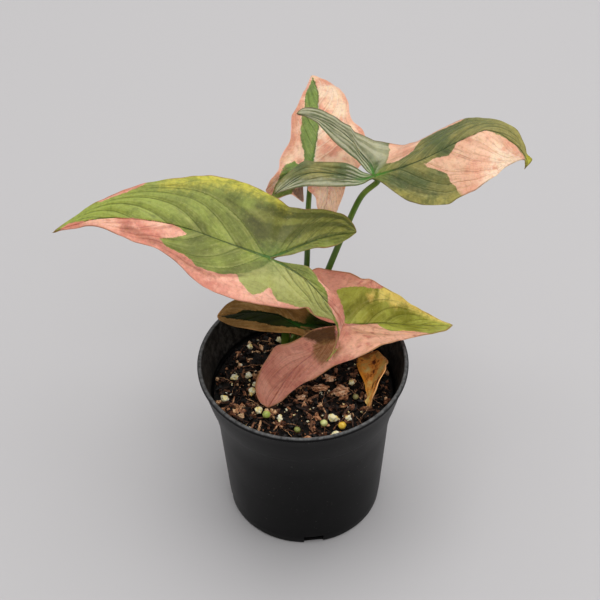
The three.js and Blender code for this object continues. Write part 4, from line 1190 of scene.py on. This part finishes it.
# ---------------------------------------------------------------- upper right leaf
# The highest blade, tip to the right and curled down to a small hook. Dark grey green with
# silvery, lengthwise pleated basal lobes, their silver partly the leaf's own colour and partly a
# painted sheen; most of its near half is pale pink, and its lower margin is mottled yellow
# green.
upper_right = {
    "junction": (36.1, 38, 189.4), "heading": 2, "pitch": 30, "roll": 0, "fold": -20,
    "bends": [((-22, 22), 135, 60, 15), ((-22, -2), 180, 60, 15), ((0, 3), 130, 14, -38),
              ((-3, -2), 180, 14, -16), ((48, 0), -8, 26, 70)],
    "midrib": [(84, -16.4), (84.6, -13), (83, -10.8), (79, -8.5), (73, -6.5), (66, -3.5), (59, -2),
               (53, -3.5), (43, -3.5), (33, -4), (21, -3.5), (11, -2.5), (0, 0)],
    "left": {
        "front": [(84, -16.4), (86, -13.2), (87.4, -10.4), (85.6, -9.7), (83.7, -9.2), (82.2, -6.5),
                  (79.5, -2.8), (76, 1), (69, 5), (62, 8), (53, 13), (47, 15.5), (39, 17), (31, 15),
                  (23, 15.5), (12, 20.5), (4, 23)],
        "lobe": [(4, 23), (-2, 27), (-12, 31), (-19, 36), (-25.5, 40), (-32.5, 41.5), (-37, 39)],
        "rib": [(0, 0), (-1, 10), (-7, 20), (-20, 31), (-37, 39)],
        "inner": [(0, 0), (-3, 5), (-6.5, 11), (-13, 16.5), (-20, 23), (-27, 32), (-37, 39)],
        "veins": [0.14, 0.28, 0.42, 0.56, 0.7, 0.85, 0.97], "lobe_veins": [0.02, 0.3, 0.62],
    },
    "right": {
        "front": [(84, -16.4), (83.2, -14.2), (82.3, -12.6), (77.1, -16), (69.5, -21), (62.5, -26),
                  (49.5, -30.5), (39, -30.5), (32, -31), (24.5, -28.5), (18, -25), (12.5, -20),
                  (7, -12), (2, -4)],
        "lobe": [(2, -4), (-1, -1.5), (-6, -2), (-16.5, -2.5), (-35, -2), (-42.5, -3), (-50, -5)],
        "rib": [(0, 0), (-6, 1), (-16, 4), (-34, 4.5), (-50, -5)],
        "inner": [(0, 0), (-4, 4.5), (-13, 10), (-28, 10.5), (-35, 11), (-47, 1.5), (-50, -5)],
        "veins": [0.16, 0.3, 0.44, 0.58, 0.72, 0.86, 0.97], "lobe_veins": [0.02, 0.3, 0.62],
    },
    "sweep": (0.3, 0.4, 4), "lobe_sweep": (-0.45, -0.6, 2), "pleats": 0.35, "swell": 0.7,
    "ripple": 0.7, "seed": 3,
    "marks": {
        "pink": (0.22, [
            [(60, -2), (54, -3), (45, -4), (43, -6), (39, -9), (33, -7), (26.3, -6.8), (27.7, -9.5),
             (31, -12), (36, -17), (36, -21), (38, -25), (38, -27), (40, -34), (66, -34), (80, -20),
             (82.8, -13.2), (82.2, -11.4), (80, -10), (75, -8), (69, -6), (64, -4)],
            [(11.9, 26), (9, 13.3), (7.4, 5), (13.7, 2), (20.3, 4), (24.6, 10), (29.8, 14.2),
             (36, 14.6), (46, 13.6), (50, 14), (44, 22), (20, 24)],
        ]),
        # The patch's silver is partly the lobes' own colour and partly a painted sheen.
        "patch": (2, [[(6, 4), (10, 16), (12, 26), (-10, 40), (-40, 46), (-38, 34), (-12, 12),
                 (-14, 2), (-44, 2), (-54, -8), (-40, -6), (-8, -5)]]),
        "stain": (1.6, [[(2, -7), (9, -12), (15, -17.4), (23, -23.2), (30, -26), (38, -27.5),
                         (42, -34), (22, -38), (0, -14)],
                        [(64, 8), (72, 2), (79, -5), (82, -10), (90, -9), (86, 4), (70, 12)]]),
        "wash": (0.5, [[(83.2, -9.3), (86, -8), (90, -10), (86, -19), (82, -15.5), (83.6, -12)]]),
        "pale": (3, [[(60, -20), (52, -30), (66, -30), (76, -20), (82, -14), (74, -12),
                (64, -10)]]),
    },
}
grey_green = {
    "Green": (90, 102, 56), "Green light": (172, 160, 90), "Green vein": (54, 72, 28),
    "Heart": (56, 132, 24), "Pink": (230, 166, 138), "Pink light": (244, 194, 164),
    # Patch is the lobes' silver, partly a painted sheen.
    "Pink vein": (198, 136, 104), "Patch": (172, 173, 146), "Patch stripe": (84, 97, 54),
    "Stain and painted shading": (162, 156, 84), "Wash and painted shading": (178, 176, 44), "Pale and painted shading": (252, 216, 188), "Edge": (92, 76, 40)}
leaf_piece = grow_blade(upper_right, (120, 60, 24, 14))
dress_blade(
    leaf_piece, "blade_upper_right", "leaf_upper_right",
    leaf_finish("upper leaf, upper side", grey_green, streaks=0.45, quilting=0.35, tip_light=0.75),
    leaf_finish("upper leaf, underside", paler(grey_green, 0.35, (160, 150, 120)), relief=0.5))

# ---------------------------------------------------------------- low right leaf
# Folded along its midrib, tip to the right. The far half is olive with yellow patches under a
# pink shoulder; the near half is pink with a green wedge at the tip, and its basal lobe drapes
# down to the mix. The basal lobe lies in the large leaf's shade, and part of that shade is
# painted: its pink is a darker mauve than the pale pink of the lit front, and its dark brown
# stain and grey olive wash are partly its own colour and partly painted shadow.
low_right = {
    "junction": (21.3, 14, 110.6), "heading": 22, "pitch": -18, "roll": 20, "fold": 42,
    "bends": [((-4, -5), -140, 24, 50), ((-3, 4), 125, 24, -30)],
    "midrib": [(64.5, -4.5), (52, -4), (37, -2), (20, 0), (0, 0)],
    "left": {
        "front": [(64.5, -4.5), (54.5, 2), (44, 6.5), (33.5, 11.5), (24, 15.5), (9, 21.5),
                  (0, 27.5)],
        "lobe": [(0, 27.5), (-5, 29), (-11, 30.5), (-15.5, 29.5), (-22, 26.5), (-27, 20)],
        "rib": [(0, 0), (-9, 9), (-18, 16), (-27, 20)],
        "inner": [(0, 0), (-13, 4), (-22, 10), (-27, 20)],
        "veins": [0.14, 0.3, 0.46, 0.62, 0.78, 0.95], "lobe_veins": [0.2, 0.5, 0.75],
    },
    "right": {
        "front": [(64.5, -4.5), (56, -9.5), (43.5, -12.5), (26, -16), (8, -20), (0, -20.5)],
        "lobe": [(0, -20.5), (-10, -21), (-21, -25.5), (-27.5, -27), (-35, -30.5), (-41, -34.5),
                 (-48.5, -36.5)],
        "rib": [(0, 0), (-14, -10), (-32, -20), (-48.5, -36.5)],
        "inner": [(0, 0), (-16.5, -1), (-25.5, -5.5), (-30.5, -8), (-36, -10), (-40.5, -15),
                  (-47.5, -23), (-51, -28), (-52, -32.5), (-48.5, -36.5)],
        "veins": [0.14, 0.3, 0.46, 0.62, 0.78, 0.95], "lobe_veins": [0.02, 0.2, 0.4, 0.6],
    },
    "sweep": (0.35, 0.5, 4), "lobe_sweep": (-0.4, -0.4, 2), "lobe_relief": 0.25, "swell": 0.7,
    "ripple": 0.7, "seed": 4,
    "marks": {
        "pink": (0.22, [
            [(0.7, 0.6), (1.1, 7.5), (-1, 13.1), (-3.5, 18.5), (-1.5, 20), (2.7, 19.8), (7.9, 17),
             (13, 15), (17.9, 14.6), (21.5, 14.7), (23.9, 15.4), (20, 24), (-20, 36), (-34, 20),
             (-12, 2)],
            [(-2, 1), (20, -0.6), (19.7, -1.6), (21.4, -4.7), (23.3, -8), (29, -7.8), (37, -9),
             (42, -11), (44, -14), (20, -26), (-50, -42), (-60, -34), (-50, -16), (-30, -4),
             (-14, 2)],
        ]),
        "patch": (2, [[(30, 16), (25, 16.5), (21, 14), (21, 11), (24, 9.5), (27, 11), (29, 8),
                 (32, 6.5), (35, 8), (44, 4.6), (54, 0.4), (63, -4.4), (68, -4), (56, 4),
                 (40, 12)],
                      [(14, 12), (17, 10), (19, 12), (17, 14)]]),
        # The stain is partly the lobe's own brown and partly the painted shadow of the large leaf's
        # lobe.
        "stain": (1.0, [[(-25, -4.2), (-19.3, -1.5), (-5.2, 0), (-6.4, -9.2), (-13.2, -10),
                         (-16.8, -9.4), (-18.6, -7), (-21.8, -5.6)]]),
        # The wash is partly the lobe's own grey olive and partly painted shade.
        "wash": (1.6, [[(-19, -8), (-8, -8), (-5, -13), (-9.9, -17), (-17, -20), (-20, -14)]]),
        # The pale area is the lit pink of the near half's front; the darker Pink elsewhere is
        # partly painted shade.
        "pale": (4, [[(4, -2), (22, -1), (30, -8), (46, -11), (64, -5), (44, -16), (20, -22),
                (0, -24), (-6, -16), (2, -8)], [(0, 24), (2, 20), (14, 17), (22, 16), (16, 24)]]),
    },
}
olive_pink = {
    "Green": (138, 140, 44), "Green light": (196, 200, 92), "Green vein": (96, 98, 26),
    # Pink and Pink light are a darkened mauve that partly paints the large leaf's shade on the
    # basal lobe; Pale is the lit pink; Stain and Wash are partly painted shadow.
    "Heart": (104, 122, 34), "Pink": (206, 128, 110), "Pink light": (234, 162, 140),
    "Pink vein": (184, 108, 98), "Patch": (255, 230, 130), "Patch stripe": (255, 222, 120),
    "Stain and painted shading": (74, 44, 5), "Wash and painted shading": (134, 92, 48), "Pale and painted shading": (255, 188, 160), "Edge": (152, 112, 62)}
leaf_piece = grow_blade(low_right, (84, 64, 22, 14))
dress_blade(
    leaf_piece, "blade_low_right", "leaf_low_right",
    leaf_finish("low leaf, upper side", olive_pink, relief=0.35, gloss=0.12, pink_vein=0.15,
                fleck=0.1, quilting=0.5, pink_wash=0.8),
    leaf_finish("low leaf, underside", paler(olive_pink, 0.35, (160, 128, 110)), relief=0.5))

# ---------------------------------------------------------------- small shaded leaf
# A small blade low on the left in the large leaf's shade, and that shade is painted into its
# colours: a very dark green along the middle with a dark tan-pink margin. Its stain, a lighter
# green on the right lobe, is a painted patch of light.
small_shaded = {
    "junction": (-0.6, 14, 109.8), "heading": 170, "pitch": 22, "roll": -6, "fold": 0,
    "bends": [((12, 0), 0, 35, 40)],
    "midrib": [(45.5, 2), (33, 1.5), (21.5, -0.5), (12, -1.5), (0, 0)],
    "left": {
        "front": [(45.5, 2), (43, 5.5), (33, 10.5), (24.5, 11.5), (18, 11), (11.5, 9), (4, 6)],
        "lobe": [(4, 6), (-1, 5.5), (-6, 5.5), (-10, 4)],
        "rib": [(0, 0), (-5, 2), (-10, 4)],
        "inner": [(0, 0), (-4, -0.2), (-8, 1), (-10, 4)],
        "veins": [0.2, 0.4, 0.6, 0.8, 0.97], "lobe_veins": [0.3, 0.7],
    },
    "right": {
        "front": [(45.5, 2), (42.5, -4.5), (38, -7.5), (30, -10.5), (20, -12), (10, -12.5),
                  (-1.5, -13)],
        "lobe": [(-1.5, -13), (-9, -12), (-15, -9.5), (-18.5, -6.5)],
        "rib": [(0, 0), (-6, -4), (-12, -6.5), (-18.5, -6.5)],
        "inner": [(0, 0), (-7, -1.5), (-14, -3), (-18.5, -6.5)],
        "veins": [0.2, 0.4, 0.6, 0.8, 0.97], "lobe_veins": [0.25, 0.6],
    },
    "sweep": (0.3, 0.4, 4), "swell": 0.4, "ripple": 0.5, "seed": 5, "reversed": ("pink",),
    "marks": {
        "pink": (0.22, [[(43, 3), (35, 1.5), (31, -0.4), (25.6, -0.8), (19.5, -1.5), (13.3, -2.6),
                         (8.8, -2), (3, -2), (-2, -3), (-5, -14), (-22, -14), (-22, -4), (-6, 0),
                         (2.5, 1.8), (7.6, 3.7), (13.8, 5.6), (21, 6.2), (26.1, 6.6), (32, 6),
                         (37, 5)]]),
        "patch": (2, []), "wash": (2, []), "pale": (2, []),
        # The stain is painted light: a lighter green patch on the right lobe.
        "stain": (2, [[(0, -4), (-4, -16), (-22, -14), (-22, -4), (-8, 0)]]),
    },
}
painted_shade_green = {
    # Every colour here is darkened as painted shade, and Stain is the painted light on the right
    # lobe.
    "Green": (26, 32, 2), "Green light": (42, 50, 6), "Green vein": (16, 26, 1),
    "Heart": (24, 78, 12), "Pink": (128, 92, 46), "Pink light": (156, 116, 64),
    "Pink vein": (104, 72, 40), "Patch": (60, 60, 30), "Patch stripe": (60, 60, 30),
    "Stain and painted shading": (46, 62, 10), "Wash and painted shading": (60, 50, 30), "Pale and painted shading": (60, 50, 30), "Edge": (190, 136, 84)}
leaf_piece = grow_blade(small_shaded, (50, 24, 16, 6))
dress_blade(
    leaf_piece, "blade_small_shaded", "leaf_small_shaded",
    leaf_finish("small leaf, upper side", painted_shade_green, gloss=0.08, through=0.2),
    leaf_finish("small leaf, underside", paler(painted_shade_green, 0.3, (150, 120, 100)), relief=0.5))

# ---------------------------------------------------------------- dried leaf
# An old leaf that has dried golden brown and lies curled on the mix at the right, against the
# pot's wall.
dried_leaf = {
    "junction": (37, 19.3, 84.2), "heading": -97, "pitch": -3, "roll": 24, "fold": 10,
    "bends": [((8, 6), 60, 9, -35), ((20, -1), -20, 20, 25)],
    "midrib": [(35.5, 1), (27, 1), (18, 1.5), (9, 0.5), (0, 0)],
    "left": {
        "front": [(35.5, 1), (37.5, 5), (36, 9), (32, 12.5), (27, 14.3), (22, 14.8), (17, 13.6),
                  (11, 11), (4, 6), (0, 2.8), (0, 0)],
        "veins": [0.2, 0.35, 0.5, 0.65, 0.8],
    },
    "right": {
        "front": [(35.5, 1), (29, -1.5), (19.5, -3.5), (10, -7.5), (4, -8.5), (1, -5), (0, 0)],
        "veins": [0.2, 0.35, 0.5, 0.65, 0.8],
    },
    "sweep": (0.2, 0.2, 2), "swell": 0.9, "ripple": 1.6, "seed": 6,
    "marks": {},
}
leaf_piece = grow_blade(dried_leaf, (70, 0, 22, 0))
dry_low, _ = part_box("dried_leaf")
own_low = min(v.co.z for v in leaf_piece.data.vertices)
for vertex in leaf_piece.data.vertices:
    vertex.co.z += dry_low.z - own_low
# Orange brown in uneven blotches, brightest along the left margin, greyer toward the base.
dried_finish, tree, surface = new_finish("dried leaf", Roughness=0.8, Specular_IOR_Level=0.25)
pressed_dry = node(tree, "ShaderNodeUVMap", uv_map="flat").outputs["UV"]
dry_along, dry_across = node(tree, "ShaderNodeSeparateXYZ", {0: pressed_dry}).outputs[:2]
dry_margin = node(tree, "ShaderNodeSeparateXYZ", {
    0: node(tree, "ShaderNodeUVMap", uv_map="edges").outputs["UV"]}).outputs[1]
blotch = speckle(tree, pressed_dry, 11, 8, 0.68)
dry_colour = ramp(tree, blotch, [
    (0.38, rgb(100, 48, 15)), (0.45, rgb(244, 150, 62)), (0.54, rgb(255, 206, 108)),
    (0.64, rgb(255, 230, 156))])
for rim, side, rim_colour in (
        ((0.07, 0.01), (0.5, 0.46), rgb(255, 164, 54)),
        ((0.04, 0.005), (0.52, 0.56), rgb(250, 184, 116))):
    on_rim = sums(tree, "MULTIPLY", fade(tree, dry_margin, *rim), fade(tree, dry_across, *side))
    dry_colour = mixed(tree, on_rim, dry_colour, rim_colour)
greyed = sums(tree, "MULTIPLY", fade(tree, dry_along, 0.66, 0.52), fade(tree, blotch, 0.4, 0.6))
dry_colour = mixed(tree, greyed, dry_colour, rgb(150, 88, 36))
tree.links.new(dry_colour, surface.inputs["Base Color"])
crackle = node(tree, "ShaderNodeTexVoronoi", {"Vector": pressed_dry, "Scale": 60},
               feature="DISTANCE_TO_EDGE")
bump(tree, surface, sums(tree, "ADD", crackle.outputs["Distance"], blotch), 0.8, 0.9)
dress_blade(leaf_piece, "dried_leaf_piece", "dried_leaf", dried_finish, dried_finish)

# ---------------------------------------------------------------- main stem and petioles
# The short main stem is rooted at the back. Petioles leave it side by side, sheathing at the
# foot, slender above, and each ends at its blade's junction.
stem_foot = np.array([*stem_spot, mix_top])
stalk_finish, tree, surface = new_finish(
    "green stalk", Subsurface_Weight=0.08, Subsurface_Scale=MM, Subsurface_Radius=(1.2, 1.2, 0.4),
    Specular_IOR_Level=0.5)
stalk_grain = grain(tree, 60, 900)
stalk_colour = ramp(tree, stalk_grain.outputs["Mask"], [
    (0.3, rgb(50, 86, 18)), (0.5, rgb(78, 112, 28)), (0.75, rgb(118, 142, 48))])
tree.links.new(stalk_colour, surface.inputs["Base Color"])
stalk_gloss = sums(tree, "MULTIPLY_ADD", stalk_grain.outputs["Height"], 0.2, 0.28)
tree.links.new(stalk_gloss, surface.inputs["Roughness"])
bump(tree, surface, stalk_grain.outputs["Height"], 0.35, 0.2)
stem_rings = [(2.2, 72), (2.8, 73), (2.8, 79), (3.1, 80.4), (2.75, 82), (2.9, 84.5), (2.6, 87.6),
              (1.9, 89.2)]
stem_route = np.array([stem_foot + (0, 0, z - mix_top) for _, z in stem_rings])
main_stem = stalk_mesh("main_stem_piece", stem_route, [r for r, _ in stem_rings], sides=24)
seat(main_stem, "main_stem_piece", stalk_finish, "stem_and_petioles", "main_stem")

# Each petiole's blade, the side of the stem it leaves, the points it passes, and its radii.
foot_height, foot_spread = 1.6, 3.1
neck_drop, top_drop = 4.15, 0.2
petioles = {
    "large_left": (large_left, 175,
                   [(-8.5, 30, 102), (-10, 30.5, 118), (-12, 20, 147)], (1.9, 1.4)),
    "back": (back_leaf, 85, [(0.5, 36, 108), (3, 42.5, 127.5), (4, 52, 154)], (1.8, 1.3)),
    "upper_right": (upper_right, 20,
                    [(7, 34, 108), (14.3, 38, 128.3), (22.5, 41.5, 151),
                     (30.3, 41.5, 173)], (1.9, 1.4)),
    "low_right": (low_right, -45, [(4, 20, 92), (14, 15, 100)], (1.7, 1.3)),
    "small_shaded": (small_shaded, -110, [(-4.5, 20.5, 93), (-3, 17.5, 101)], (1.5, 1.1)),
}
for name, (blade, side, through, (foot_radius, top_radius)) in petioles.items():
    turn = math.radians(side)
    reach = foot_spread + foot_radius
    foot = stem_foot + (reach * math.cos(turn), reach * math.sin(turn), foot_height)
    origin = np.zeros((1, 2))
    under = drape(blade, origin, -top_drop)[0]
    neck = drape(blade, origin, -neck_drop)[0]
    route = smooth_route([foot, foot + (0, 0, 5), *through, neck, under], 60)
    share = np.linspace(0, 1, 61)
    radii = foot_radius + (top_radius - foot_radius) * share
    radii = radii + 0.5 * np.exp(-((share / 0.12) ** 2)) + 0.3 * ease((share - 0.93) / 0.07)
    stalk = stalk_mesh(f"stalk_{name}", route, radii)
    seat(stalk, f"stalk_{name}", stalk_finish, "stem_and_petioles", f"petiole_{name}")
